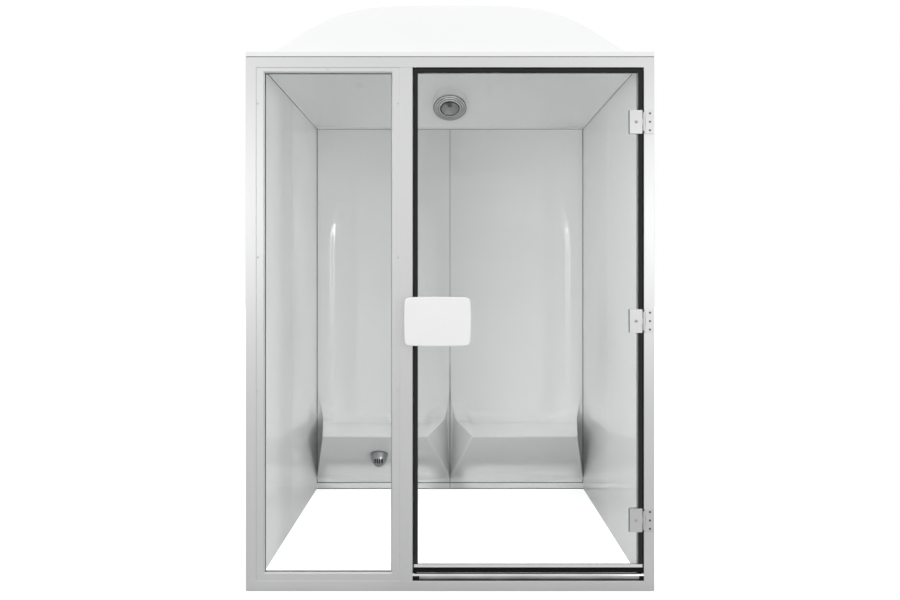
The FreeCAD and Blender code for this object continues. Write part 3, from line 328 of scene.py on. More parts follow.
def two_sided_acrylic(name, colour, limit):
    """Gloss towards the room and sprayed backing outside, told apart by the distance from X = 0."""
    finish, shader = new_finish(name, colour, room_gloss)
    shader.inputs["IOR"].default_value = acrylic_ior
    away = calculate(finish, "ABSOLUTE", coordinate(finish, "X"))
    outside = calculate(finish, "GREATER_THAN", away, limit)
    vary(finish, outside, shader.inputs["Roughness"], room_gloss, spray_roughness)
    spray = calculate(finish, "MULTIPLY", fibre(finish), outside)
    tint(finish, spray, shader, colour, spray_colour)
    bump(finish, spray, shader, 0.4, 0.0012)
    return finish


wall_acrylic = two_sided_acrylic("wall_acrylic", acrylic_white, wall_skin)
panel_backing = fibre_backing("panel_backing", (0.74, 0.74, 0.71))
foam = fibre_backing("foam_board", (0.80, 0.78, 0.68))
print("finishes with the backings:", len(bpy.data.materials))

# %% [markdown]
# ## Glass, rubber and wood
# Clear glass is a transmitting shader. Lamp light can't find its way through a refracting pane, so
# the pane lets shadow and diffuse rays straight through, by its alpha. The eye still sees gloss and
# a green edge. Rubber is nearly black with a soft bloom, and the knees under the seats are plywood.

# %% Glass
glass_ior = 1.5
glass_glint = (0.4, 0.4, 0.4, 1)
glass_shade = 0.06


def clear_glass(name, colour):
    """Transmitting glass that is open to shadow and diffuse rays through its alpha."""
    finish, shader = new_finish(name, colour, 0.0)
    shader.inputs["Transmission Weight"].default_value = 1.0
    shader.inputs["Specular Tint"].default_value = glass_glint
    shader.inputs["IOR"].default_value = glass_ior
    ray = finish.node_tree.nodes.new("ShaderNodeLightPath").outputs
    through = calculate(finish, "MAXIMUM", ray["Is Shadow Ray"], ray["Is Diffuse Ray"])
    vary(finish, through, shader.inputs["Alpha"], 1.0, glass_shade)
    return finish


pane_glass = clear_glass("pane_glass", (0.975, 0.99, 0.985))
lens_glass = clear_glass("lens_glass", (0.97, 0.97, 0.96))
print("glass:", pane_glass.name, lens_glass.name)

# %% Rubber, wood and the light's bowl
rubber_shine = 0.12
rubber_bloom = 1.3


def rubber(name, colour, roughness):
    """Rubber: fine grain with a dusty bloom."""
    finish, shader = new_finish(name, colour, roughness)
    shader.inputs["Specular IOR Level"].default_value = rubber_shine
    grain = noise(finish, even(700.0), 2.0)
    tint(finish, grain, shader, colour, shaded(colour, rubber_bloom))
    bump(finish, grain, shader, 0.15, 0.0003)
    return finish


def plywood(name, dark, light):
    """Plywood: long grain along Y and thin plies across."""
    finish, shader = new_finish(name, light, 0.7)
    grain = noise(finish, (120.0, 5.0, 60.0), 5.0)
    tint(finish, grain, shader, dark, light)
    bump(finish, grain, shader, 0.3, 0.0006)
    return finish


black_rubber = rubber("black_rubber", (0.005, 0.005, 0.005), 0.55)
seal_rubber = rubber("seal_rubber", (0.022, 0.023, 0.024), 0.5)
gasket_rubber = rubber("gasket_rubber", (0.05, 0.052, 0.055), 0.6)
seam_rubber = rubber("seam_rubber", (0.05, 0.05, 0.052), 0.6)
magnet_strip = rubber("magnet_strip", (0.05, 0.05, 0.052), 0.7)
knee_plywood = plywood("knee_plywood", (0.42, 0.29, 0.16), (0.70, 0.54, 0.35))
bowl_mirror = brushed_metal("bowl_mirror", (0.60, 0.605, 0.61), 0.65, even(150.0), 0.05)
print("finishes in all:", len(bpy.data.materials))

# %% [markdown]
# ## Finishes on the frame's own nodes
# Nodes whose shape is already right keep their mesh and only take a finish. The names are grouped
# by finish, so one loop dresses them all. Those that a finer surface replaces later are dressed
# too, so that the frame is whole by itself.

# %% Dress the nodes
finish_of_nodes = {
    upright_aluminium: ["frame_left_stile", "frame_right_stile", "mullion", "pane_bead_left",
                        "pane_bead_right", "frame_corner_cleats"],
    level_aluminium: ["frame_head", "frame_sill", "pane_bead_top", "pane_bead_bottom"],
    polished_aluminium: ["threshold_bar"],
    channel_aluminium: ["door_bottom_channel"],
    hinge_steel: ["hinge_leaf_top", "hinge_leaf_middle", "hinge_leaf_bottom", "hinge_clamp_top",
                  "hinge_clamp_middle", "hinge_clamp_bottom", "hinge_backing_plates", "hinge_pins"],
    fastener_steel: ["bead_screws", "clamp_screws", "hinge_leaf_screws", "frame_wall_screws",
                     "seam_bolts", "seam_nuts", "handle_studs"],
    pane_glass: ["fixed_pane", "door_glass"],
    lens_glass: ["light_lens"],
    lamp_bulb: ["light_lamp"],
    seal_rubber: ["door_seals"],
    black_rubber: ["door_sweep", "door_stop_gaskets"],
    gasket_rubber: ["pane_gaskets", "glass_pads", "light_gasket", "steam_gasket"],
    seam_rubber: ["panel_seam_gaskets", "roof_gasket"],
    magnet_strip: ["latch_magnet"],
    room_acrylic: ["back_panel_left", "back_panel_right"],
    wall_acrylic: ["side_panel_left_front", "side_panel_left_rear", "side_panel_right_front",
                   "side_panel_right_rear"],
    dome_acrylic: ["roof_dome"],
    handle_white: ["handle_plate", "handle_pull"],
    chrome: ["light_bezel", "handle_posts"],
    hood_steel: ["steam_hood"],
    bowl_mirror: ["light_reflector"],
    can_enamel: ["light_can"],
    ring_plastic: ["light_lock_ring"],
    knee_plywood: ["seat_gussets"],
    foam: ["wall_insulation"],
    brass: ["steam_nipple", "steam_lock_nut"],
}
for finish, names in finish_of_nodes.items():
    for name in names:
        slots = nodes[name].data.materials
        slots.clear()
        slots.append(finish)
print("dressed:", sum(len(names) for names in finish_of_nodes.values()), "of", len(nodes))

# %% [markdown]
# ## Surfaces on grids
# A new piece is one or more grids of points. Each grid turns into quads by pairing neighbouring
# rows and columns, with whole arrays and no loop over the points. Straight bars are a section at
# two places, with their ends closed.

# %% Grids into pieces
weld_distance = 1e-6
sharp_angle = math.radians(40)


def grid_quads(rows, columns, start=0, flip=False):
    """Corner numbers of the quads between neighbouring rows and columns of a grid."""
    index = start + np.arange(rows * columns).reshape(rows, columns)
    corners = [index[:-1, :-1], index[:-1, 1:], index[1:, 1:], index[1:, :-1]]
    if flip:
        corners.reverse()
    return np.stack([corner.ravel() for corner in corners], axis=1)


def make_piece(name, grids, body, finishes, replaced=(), open_ends=False):
    """Object from (points, flip, finish number or numbers); points are rows x columns x 3."""
    points = []
    quads = []
    numbers = []
    start = 0
    for surface, flip, number in grids:
        rows, columns = surface.shape[:2]
        quads.append(grid_quads(rows, columns, start, flip))
        numbers.append(np.broadcast_to(number, len(quads[-1])))
        points.append(surface.reshape(-1, 3))
        start += rows * columns
    mesh = bpy.data.meshes.new(name)
    mesh.from_pydata(np.concatenate(points), [], np.concatenate(quads))
    mesh.polygons.foreach_set("material_index", np.concatenate(numbers))
    shape = bmesh.new()
    shape.from_mesh(mesh)
    bmesh.ops.remove_doubles(shape, verts=shape.verts, dist=weld_distance)
    if open_ends:
        bmesh.ops.holes_fill(shape, edges=[edge for edge in shape.edges if edge.is_boundary])
        bmesh.ops.recalc_face_normals(shape, faces=shape.faces)
    shape.to_mesh(mesh)
    shape.free()
    mesh.polygons.foreach_set("use_smooth", np.ones(len(mesh.polygons), bool))
    mesh.set_sharp_from_angle(angle=sharp_angle)
    for finish in finishes:
        mesh.materials.append(finish)
    mesh.update()
    piece = bpy.data.objects.new(name, mesh)
    bpy.context.scene.collection.objects.link(piece)
    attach(piece, body)
    if replaced:
        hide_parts(*replaced)
    print(name, len(mesh.polygons), "faces")
    return piece


# %% Sections, bars and soft steps
def box_loop(first, second):
    """Closed rectangle between two values of a first and of a second coordinate."""
    corners = ((0, 0), (1, 0), (1, 1), (0, 1), (0, 0))
    return np.array([(first[a], second[b]) for a, b in corners])


def swept_bar(section, axis, start, end, number=0, fan=True):
    """Closed section carried along an axis: 0 takes (y, z), 1 takes (z, x) and 2 takes (x, y).

    A fan closes each end from the section's first point, where that point sees all the others.
    """
    first = np.broadcast_to(section[0], section.shape)
    rows = np.stack([first, section, section, first] if fan else [section, section])
    ends = np.repeat([start, end], len(rows) // 2)
    along = np.broadcast_to(ends[:, None, None], rows.shape[:2] + (1,))
    bar = np.roll(np.concatenate([rows, along], axis=2), (axis + 1) % 3, axis=2)
    return bar, False, number


def smooth_step(value, low, high):
    """0 below low, 1 above high, and a cubic S between."""
    share = np.clip((value - low) / (high - low), 0, 1)
    return share * share * (3 - 2 * share)


# %% [markdown]
# ## The moulded back panels
# Each back panel is one sheet of acrylic drawn over a mould: a base strip, a groove, a facet at
# the foot, a riser that leans out to the seat's edge, the seat, and a tall backrest with a shallow
# dish. Two profiles in reach and height are carried across the panel's width, one for its ends and
# one for its middle, and a mask slides from one to the other by soft steps. The soft step beside
# the dish is what catches the long highlights. Near the panel's edges the flanks hold the reach
# back with a soft minimum, which leaves the kite-shaped hollows at the seam and at the walls.

# %% Sizes of the back panels, in metres
back_y = 0.7915
rear_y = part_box("back_panel_right")[1].y
room_half = 0.775
half_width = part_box("back_panel_right")[1].x
panel_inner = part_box("back_panel_right")[0].x
panel_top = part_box("back_panel_right")[1].z
panel_skin = 0.005
# The seat and the flanks beside it
seat_reach = 0.450
seat_height = 0.390
edge_radius = 0.0015
seat_hold = 0.030
seat_step = 0.140
seat_fade = (0.10, 0.45)
wing_rise = 0.026
wing_fillet = 0.100
wing_fade = 0.13
wing_step = 0.060
seam_inset = 0.119
wall_inset = 0.104
seam_slot = 0.018
wall_slot = 0.035
slot_top_rise = 0.144
flank_blend = 0.010
# The foot: corners are (reach, height, radius), at the panel's ends and in its middle
base_proud = 0.006
base_height = 0.033
base_round = 0.0015
groove_height = 0.0045
groove_depth = 0.004
groove_round = 0.0005
riser_foot = 0.062
end_corner = (0, 0.056, 0.004)
end_crease = (0.012, 0.0707, 0.004)
foot_corner = (0.002, 0.047, 0.020)
foot_crease = (0.045, 0.0948, 0.012)
foot_fade = (0.02, 0.20)
foot_share = (0.4, 0.6)
# The dish in the backrest
dish_fillet = 0.060
dish_depth = 0.012
dish_top = 1.600
dish_corner = 0.050
dish_top_stretch = 4.0
dish_fade = 0.30
dish_wall_inset = 0.088
dish_step = 0.034
print("panel from x", round(panel_inner, 4), "to", round(half_width, 4), "and up to", round(panel_top, 4))


# %% Profiles in reach and height
def straight(start, end, steps):
    """Points from start to end in equal steps, without the start."""
    return start + (end - start) * np.linspace(0, 1, steps + 1)[1:, None]


def rounded_path(corners, arc_steps, line_steps):
    """Polyline through (reach, height, radius) corners; a corner with a radius becomes an arc."""
    points = [np.array(corners[0][:2])[None]]
    for before, here, after, steps in zip(corners, corners[1:], corners[2:], line_steps):
        centre = np.array(here[:2])
        back = np.array(before[:2]) - centre
        ahead = np.array(after[:2]) - centre
        back /= np.linalg.norm(back)
        ahead /= np.linalg.norm(ahead)
        half = np.arccos(np.clip(back @ ahead, -1, 1)) / 2
        radius = here[2]
        start = centre + back * radius / np.tan(half)
        points.append(straight(points[-1][-1], start, steps))
        if radius:
            middle = centre + (back + ahead) / np.linalg.norm(back + ahead) * radius / np.sin(half)
            first = np.arctan2(*(start - middle)[::-1])
            end = centre + ahead * radius / np.tan(half)
            sweep = np.arctan2(*(end - middle)[::-1]) - first
            sweep = (sweep + np.pi) % (2 * np.pi) - np.pi
            turn = first + sweep * np.linspace(0, 1, arc_steps + 1)[1:]
            points.append(middle + radius * np.stack([np.cos(turn), np.sin(turn)], axis=1))
    points.append(straight(points[-1][-1], np.array(corners[-1][:2]), line_steps[-1]))
    return np.concatenate(points)


def foot_corners(corner, crease):
    """Corners from the floor to the seat's edge: base strip, groove, foot facet and riser."""
    groove_top = base_height + groove_height
    return [(base_proud, 0, 0), (base_proud, base_height, base_round),
            (-groove_depth, base_height, groove_round), (-groove_depth, groove_top, groove_round),
            (0, groove_top, groove_round), corner, crease, (seat_reach, seat_height, edge_radius)]


profile_arc = 11
profile_lines = (3, 2, 2, 2, 2, 6, 34, 40, 160)
wing_back = [(0, seat_height + wing_rise, wing_fillet), (0, panel_top, 0)]
dish_back = [(-dish_depth, seat_height, dish_fillet), (-dish_depth, panel_top, 0)]
wing_profile, dish_profile = (
    rounded_path(foot_corners(*foot) + above, profile_arc, profile_lines)
    for foot, above in (((end_corner, end_crease), wing_back), ((foot_corner, foot_crease), dish_back)))
print("profile rows:", len(wing_profile), len(dish_profile))


# %% Masks of dish, seat and foot
def dish_mask(x, z):
    """Backrest dish: distance to a rounded corner, crisp at the wall and shoulder, soft to the seam."""
    across = x - (room_half - dish_wall_inset)
    above = (z - dish_top) / dish_top_stretch
    outside = np.hypot(np.maximum(across + dish_corner, 0), np.maximum(above + dish_corner, 0))
    distance = outside + np.minimum(np.maximum(across, above) + dish_corner, 0) - dish_corner
    crisp = smooth_step(-distance, -dish_step / 2, dish_step / 2)
    return crisp * smooth_step(x - panel_inner, 0, dish_fade)


def seat_mask(x, z):
    """Seat: from the wing at the seam, which narrows upwards, to the soft rise at the wall."""
    rise = np.clip((z - seat_height - wing_rise) / wing_fade, 0, 1)
    inner_edge = panel_inner + seam_inset * (1 - rise)
    inner = smooth_step(x - inner_edge, -(1 - rise) * wing_step / 2, wing_step / 2 + wing_fade * rise)
    return inner * smooth_step(room_half - x, seat_hold, seat_hold + seat_step)


def foot_mask(x):
    """Foot facet: full in the middle of the panel and gone at both ends."""
    return smooth_step(x - panel_inner, *foot_fade) * smooth_step(room_half - x, *foot_fade)


def panel_mask(x, z):
    """1 where the middle profile holds: foot below, then seat, then the backrest's dish."""
    on_seat = 1 - smooth_step(z, seat_height + seat_fade[0], seat_height + seat_fade[1])
    on_foot = 1 - smooth_step(z, foot_share[0] * seat_height, foot_share[1] * seat_height)
    upper = on_seat * seat_mask(x, z) + (1 - on_seat) * dish_mask(x, z)
    return on_foot * foot_mask(x) + (1 - on_foot) * upper


# %% The panel's skin
near_columns = 60
near_crowding = 1.3
middle_columns = 24


def soft_minimum(a, b, blend):
    """The lesser of two values, rounded where they cross within blend of each other."""
    share = np.clip(0.5 + 0.5 * (b - a) / blend, 0, 1)
    return b * (1 - share) + a * share - blend * share * (1 - share)


def flank_reach(edge, front_inset, slot_width, z):
    """Furthest reach beside a seam: (edge - slot) / taper, with a slot that is a kite in height."""
    waist = seat_height + wing_rise
    lean = slot_width / (waist - riser_foot)
    taper = (front_inset - lean * (seat_height - riser_foot)) / seat_reach
    slot = np.minimum(lean * (z - riser_foot), slot_width * (1 - (z - waist) / slot_top_rise))
    return -soft_minimum(-(edge - slot) / taper, 0 * z, flank_blend)


def panel_columns():
    """Places across the panel, close together where flanks and dish edges bend it."""
    edge = seam_inset + dish_step / 2
    near = edge * np.linspace(0, 1, near_columns) ** near_crowding
    middle = np.linspace(panel_inner + edge, room_half - edge, middle_columns)
    return np.concatenate([panel_inner + near, middle[1:-1], room_half - near[::-1], [half_width]])


def panel_skin_points():
    """Room side of the right-hand panel as rows along the profile and columns across."""
    x = panel_columns()[None, :]
    wing = wing_profile[:, None, :]
    dish = dish_profile[:, None, :]
    mask = panel_mask(x, wing[..., 1])
    reach = wing[..., 0] + mask * (dish[..., 0] - wing[..., 0])
    height = wing[..., 1] + mask * (dish[..., 1] - wing[..., 1])
    sides = ((x - panel_inner, seam_inset, seam_slot),
             (np.maximum(room_half - x, 0), wall_inset, wall_slot))
    for edge, inset, slot in sides:
        reach = soft_minimum(reach, flank_reach(edge, inset, slot, height), flank_blend)
    return np.stack([np.broadcast_to(x, reach.shape), back_y - reach, height], axis=2)


def normals_of(surface):
    """Unit normals from the cross product of differences along rows and columns."""
    along = np.gradient(surface, axis=0)
    across = np.gradient(surface, axis=1)
    normal = np.cross(across, along)
    return normal / np.maximum(np.linalg.norm(normal, axis=2, keepdims=True), 1e-12)


skin = panel_skin_points()
skin_normal = normals_of(skin)
skin_normal *= -np.sign(skin_normal[len(skin) // 2, len(skin[0]) // 2, 1])
skin_rear = skin - panel_skin * skin_normal
skin_rear[..., 2] = np.maximum(skin_rear[..., 2], 0)
print("skin:", skin.shape)


# %% The sheet with its rims and flanges
def flat_strip(x0, x1, y0, y1, z0, z1):
    """The six faces of a thin flange, as two-by-two grids that face outwards."""
    corner = np.array([[[(x, y, z) for z in (z0, z1)] for y in (y0, y1)] for x in (x0, x1)])
    return [(corner[0], True, 1), (corner[1], False, 1), (corner[:, 0], False, 1),
            (corner[:, 1], True, 1), (corner[:, :, 0], True, 1), (corner[:, :, 1], False, 1)]


def rim_grids(front, rear):
    """Strips that close a sheet along its four edges, between its front and rear points."""
    edges = ((front[:, -1], rear[:, -1], False), (front[:, 0], rear[:, 0], True),
             (front[-1], rear[-1], True), (front[0], rear[0], False))
    return [(np.stack([near, far], axis=1), flip, 1) for near, far, flip in edges]


def mirror_grids(grids):
    """The same grids on the other side of the cabin, turned so that they still face outwards."""
    turned = np.array([-1.0, 1.0, 1.0])
    return [(surface * turned, not flip, number) for surface, flip, number in grids]


flange_spans = ((panel_inner, panel_inner + panel_skin, 0, panel_top),
                (half_width - panel_skin, half_width, 0, panel_top),
                (panel_inner, half_width, panel_top - panel_skin, panel_top),
                (panel_inner, half_width, 0, panel_skin))
right_grids = [(skin, False, 0), (skin_rear, True, 1)] + rim_grids(skin, skin_rear)
for x0, x1, z0, z1 in flange_spans:
    right_grids += flat_strip(x0, x1, back_y + panel_skin, rear_y, z0, z1)
panel_finishes = [room_acrylic, panel_backing]
make_piece("back_panel_right_skin", right_grids, "cabin", panel_finishes,
           ["back_panel_right"])
make_piece("back_panel_left_skin", mirror_grids(right_grids), "cabin", panel_finishes,
           ["back_panel_left"])

# %% [markdown]
# ## Sealant
# The fitter runs thin beads of dark sealant down both rear corners, under the roof's rim and down the
# seam between the back panels. The bead along their foot is sealant that also paints the contact
# shadow at the floor, and the strip in their groove is painted shade. A bead in a corner is a small
# hollow fillet, and a bead in a seam or groove is a flat strip. Each is drawn as a section and
# carried straight along its line, which keeps the lines thin and even.


# %% Sections of the beads
def bead_section(corner, way, leg):
    """Hollow fillet in a corner: the corner point and a quarter circle that curves towards it."""
    turn = np.linspace(0, np.pi / 2, 9)
    arc = np.stack([1 - np.sin(turn), 1 - np.cos(turn)], axis=1)
    loop = np.concatenate([[[0, 0]], arc, [[0, 0]]])
    return np.array(corner) + np.array(way) * leg * loop


corner_leg = 0.0032
floor_leg = 0.004
roof_leg = 0.0019
floor_gap = 0.001
room_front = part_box("side_panel_right_front")[0].y
roof_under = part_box("roof_gasket")[1].z
# The rear bead under the roof stops short of the side ones, so that they share no corner
roof_end = room_half - 0.0005
# The bead along the foot is sealant and also paints the contact shadow at the floor
foot_bead_and_shadow = bead_section((back_y - base_proud, 0.0), (-1, 1), floor_leg)
roof_bead = bead_section((back_y, roof_under), (-1, -1), roof_leg)
# The strip in the groove is painted shade
groove_fill = 0.0005
groove_shade_strip = box_loop((back_y - groove_fill, back_y + groove_depth - groove_fill),
                        (base_height + groove_fill, base_height + groove_height - groove_fill))
# The seam's strip from the floor up, in spans of (half width, proud, start, end)
seam_half = 0.0011
seam_proud = 0.0004
kite_half = 0.0016
kite_proud = 0.0032
kite_top = 0.72
seam_spans = ((seam_half, base_proud + seam_proud, floor_gap / 2, base_height),
              (kite_half, kite_proud, base_height + groove_height, kite_top),
              (seam_half, seam_proud, kite_top, panel_top))
print("beads under the roof at", round(roof_under, 4), "from y", round(room_front, 4))

# %% Beads of sealant, with painted shade at the foot and in the groove
sealant = rubber("sealant", (0.06, 0.06, 0.062), 0.5)
beads = [swept_bar(section, 0, -room_half, room_half) for section in (foot_bead_and_shadow, groove_shade_strip)]
beads.append(swept_bar(roof_bead, 0, -roof_end, roof_end))
for side in (-1, 1):
    corner_bead = bead_section((side * room_half, back_y), (-side, -1), corner_leg)
    wall_bead = bead_section((roof_under, side * room_half), (-1, -side), roof_leg)
    beads += [swept_bar(corner_bead, 2, floor_gap, panel_top), swept_bar(wall_bead, 1, room_front, back_y)]
for half, proud, start, end in seam_spans:
    seam_strip = box_loop((-half, half), (back_y - proud, back_y + seam_proud))
    beads.append(swept_bar(seam_strip, 2, start, end))
make_piece("corner_sealant", beads, "cabin", [sealant], open_ends=True)

# %% [markdown]
# ## The light's trim
# The ceiling light is a turned fitting, so its trim is a profile carried round the light's axis. The
# frame's own node gives that axis: a turned piece spreads least along it. The trim steps in by three
# rounded rings to a lip round the lens. A black ring seals the lens. Thinner black rings lie in the
# grooves as painted shade: they draw the dark circles that set the rings apart.


# %% Turned pieces
def turned_frame(node):
    """Origin and directions of a flat turned node: the direction of least spread is its axis."""
    spots = np.empty(3 * len(node.data.vertices))
    node.data.vertices.foreach_get("co", spots)
    spots = spots.reshape(-1, 3)
    mean = spots.mean(axis=0)
    axis = np.linalg.svd(spots - mean, full_matrices=False)[2][2]
    axis *= -np.sign(axis[2])
    across = np.array([1.0, 0.0, 0.0])
    basis = np.stack([across, np.cross(axis, across), axis])
    local = (spots - mean) @ basis.T
    middle = (local.min(axis=0) + local.max(axis=0)) / 2
    middle[2] = local[:, 2].min()
    return mean + middle @ basis, basis


def turned_grid(radius, height, origin, basis, steps=96):
    """Profile of radius and height turned about the third direction: radius (cos, sin) + height."""
    turn = np.linspace(0, 2 * np.pi, steps + 1)[None, :, None]
    ring = np.cos(turn) * basis[0] + np.sin(turn) * basis[1]
    return origin + radius[:, None, None] * ring + height[:, None, None] * basis[2]


# %% Trim of the light
light_origin, light_basis = turned_frame(nodes["light_bezel"])
trim_outer = 0.092
trim_inner = 0.0555
trim_edge = 0.003
trim_rise = 0.0065
trim_points = 73
ring_count = 3
ring_bead = 0.0030
ring_flat = 0.4
share = np.linspace(0, 1, trim_points)
ring_wave = np.abs(np.sin(ring_count * np.pi * share)) ** ring_flat
front_radius = trim_outer + (trim_inner - trim_outer) * share
front_height = trim_edge + trim_rise * share + ring_bead * ring_wave
trim_radius = np.concatenate([[trim_outer], front_radius, [trim_inner, trim_outer]])
trim_height = np.concatenate([[0], front_height, [0, 0]])
trim_chrome = brushed_metal("trim_chrome", (0.62, 0.625, 0.63), 0.10, even(150.0), 0.03)
trim_grid = turned_grid(trim_radius, trim_height, light_origin, light_basis)
make_piece("light_trim", [(trim_grid, False, 0)], "cabin", [trim_chrome], ["light_bezel"])


# %% Black rings of the light: the lens seal, and painted shade in the grooves
def ring_tube(radius, height, tube):
    """Round ring about the light's axis: a small circle turned at a radius and a height."""
    turn = np.linspace(0, 2 * np.pi, 25)
    circle = (radius + tube * np.cos(turn), height + tube * np.sin(turn))
    return turned_grid(*circle, light_origin, light_basis), False, 0


seal_radius = 0.0525
seal_height = 0.0105
seal_tube = 0.0030
groove_shade_tube = 0.0018
groove_shade_lift = 0.001
ring_step = (trim_inner - trim_outer) / ring_count
rings = [ring_tube(seal_radius, seal_height, seal_tube)]
# The thin black rings in the grooves are painted shade
rings += [ring_tube(trim_outer + place * ring_step,
                    trim_edge + trim_rise * place / ring_count + groove_shade_lift, groove_shade_tube)
          for place in range(ring_count)]
make_piece("light_seal", rings, "cabin", [black_rubber])

# %% [markdown]
# ## The steam hood
# The hood is a round-nosed bullet pressed from sheet, and it stands square on the leaning riser, so
# its nose points down into the room. Four upright slots let the steam out on the side that faces the
# door. The bullet is a turned half-ellipse, and the slots are pressed into it as deep, narrow troughs.
# The faces deep in the slots are black: painted shade.

# %% Bullet of the hood
hood_low, hood_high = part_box("steam_hood")
hood_radius = 0.047
hood_seat = 0.002
hood_flange = 0.004
hood_turns = 300
nose_radius = 0.044
nose_start = 0.008
nose_height = 0.027
nose_length = 0.063
nose_points = 80
nose_middle = np.array([(hood_low.x + hood_high.x) / 2, hood_low.y + nose_radius, hood_low.z + nose_radius])
riser_slope = math.atan2(seat_height - riser_foot, seat_reach)
hood_out = np.array([0.0, -math.sin(riser_slope), -math.cos(riser_slope)])
hood_basis = np.stack([[1.0, 0.0, 0.0], np.cross(hood_out, [1.0, 0.0, 0.0]), hood_out])
nose_turn = np.linspace(0, np.pi / 2, nose_points)
hood_r = np.concatenate([[0, hood_radius, hood_radius, nose_radius], nose_radius * np.cos(nose_turn)])
hood_h = np.concatenate([[hood_seat, hood_seat, hood_seat + hood_flange, nose_start],
                         nose_start + nose_length * np.sin(nose_turn)])
hood_points = turned_grid(hood_r, hood_h, nose_middle - nose_height * hood_out, hood_basis, hood_turns)
print("hood leans by", round(math.degrees(riser_slope), 1), "degrees")

# %% Slots of the hood
slot_places = (-1.5, -0.5, 0.5, 1.5)
slot_pitch = 0.0128
slot_half = 0.0042
slot_soft = 0.0010
slot_top = 0.009
slot_bottom = -0.016
slot_depth = 0.008
slot_shade_share = 0.6
from_nose = hood_points - nose_middle
troughs = [1 - smooth_step(np.abs(from_nose[..., 0] - place * slot_pitch),
                           slot_half - slot_soft, slot_half + slot_soft) for place in slot_places]
within = smooth_step(from_nose[..., 2], slot_bottom - slot_soft, slot_bottom + slot_soft)
within = within * (1 - smooth_step(from_nose[..., 2], slot_top - slot_soft, slot_top + slot_soft))
sunk = np.max(troughs, axis=0) * within * (from_nose[..., 1] < 0)
outward = from_nose / np.maximum(np.linalg.norm(from_nose, axis=2, keepdims=True), 1e-9)
# Faces deep in the slots take a black finish, which paints the shade inside them
slot_shade_faces = (sunk[:-1, :-1] + sunk[1:, 1:] > slot_shade_share).astype(int).ravel()
hood_inside = rubber("hood_inside", (0.003, 0.003, 0.003), 0.9)
hood_grid = hood_points - slot_depth * sunk[..., None] * outward
make_piece("steam_hood_shell", [(hood_grid, True, slot_shade_faces)], "cabin",
           [hood_steel, hood_inside], ["steam_hood"])

# %% [markdown]
# ## Painted shadow lines beside the hinge clamps
# Each hinge clamp grips the glass through a rubber pad. A thin dark bar on the face of the glass
# beside each clamp paints the shadow line at the clamp's edge.

# %% Painted shadow lines beside the clamps
glass_low, glass_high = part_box("door_glass")
glass_play = 0.0001
hinge_boxes = [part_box("hinge_clamp_" + place) for place in ("bottom", "middle", "top")]
shadow_lip_width = 0.0024
shadow_lip_depth = 0.005
shadow_lip_inset = 0.001
shadow_lip_bars = []
for low, high in hinge_boxes:
    shadow_lip_strip = box_loop((low.x - shadow_lip_width, low.x - glass_play),
                         (glass_low.y - shadow_lip_depth, glass_low.y - glass_play))
    shadow_lip_bars.append(swept_bar(shadow_lip_strip, 2, low.z + shadow_lip_inset, high.z - shadow_lip_inset))
make_piece("clamp_pad_lips", shadow_lip_bars, "door", [gasket_rubber], open_ends=True)

# %% [markdown]
# ## The door's seals
# A rubber channel grips the glass on the latch side, across the top and between the hinges. A softer,
# paler lip reaches further in behind the glass on the hinge side. The channel's section is a rounded
# loop round the edge of the glass, carried along each side.

# %% Section of the channel
seal_low, seal_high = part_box("door_seals")
seal_web = seal_high.z - glass_high.z
seal_face = 0.015
seal_leg = 0.0018
seal_arc = 5


def seal_section(edge, outward):
    """Closed loop round a glass edge: outer face, web past the edge, and inner face."""
    front = glass_low.y - seal_leg
    back = glass_high.y + seal_leg
    near_front = glass_low.y - glass_play
    near_back = glass_high.y + glass_play
    outer = edge + outward * seal_web
    face = outer - outward * seal_face
    near = edge + outward * glass_play
    middle = (outer, (front + back) / 2, 0)
    corners = [middle, (outer, back, seal_leg / 2), (face, back, seal_leg / 3), (face, near_back, 0),
               (near, near_back, 0), (near, near_front, 0), (face, near_front, 0),
               (face, front, seal_leg / 2), (outer, front, seal_leg / 2), middle]
    return rounded_path(corners, seal_arc, (1,) * (len(corners) - 1))


# %% Door seals
seal_lip = 0.022
hinge_play = 0.001
hinge_edge = glass_high.x + seal_web
starts = [seal_low.z] + [high.z + hinge_play for low, high in hinge_boxes]
ends = [low.z - hinge_play for low, high in hinge_boxes] + [seal_high.z]
hinge_section = seal_section(glass_high.x, 1)
head_section = seal_section(glass_high.z, 1)[:, ::-1]
soft_lip = box_loop((hinge_edge - seal_lip, hinge_edge - seal_face + glass_play),
                    (glass_high.y + glass_play, glass_high.y + seal_leg))
seal_bars = [swept_bar(seal_section(glass_low.x, -1), 2, seal_low.z, seal_high.z, fan=False)]
for start, end in zip(starts, ends):
    seal_bars += [swept_bar(hinge_section, 2, start, end, fan=False),
                  swept_bar(soft_lip, 2, start, end, 1)]
seal_bars.append(swept_bar(head_section, 0, glass_low.x + seal_face - seal_web, hinge_edge - seal_face,
                           fan=False))
lip_rubber = rubber("lip_rubber", (0.28, 0.285, 0.29), 0.4)
make_piece("door_seal_strips", seal_bars, "door", [seal_rubber, lip_rubber],
           ["door_seals"], open_ends=True)

# %% [markdown]
# ## The handle's cover
# The outer handle is a moulded white plate: nearly a rectangle, with bowed sides, round corners and a
# slightly crowned face. A polar grid over a rounded outline gives all of that in one closed surface,
# with rows that run from the middle of the face, over the rim, to the middle of the back.

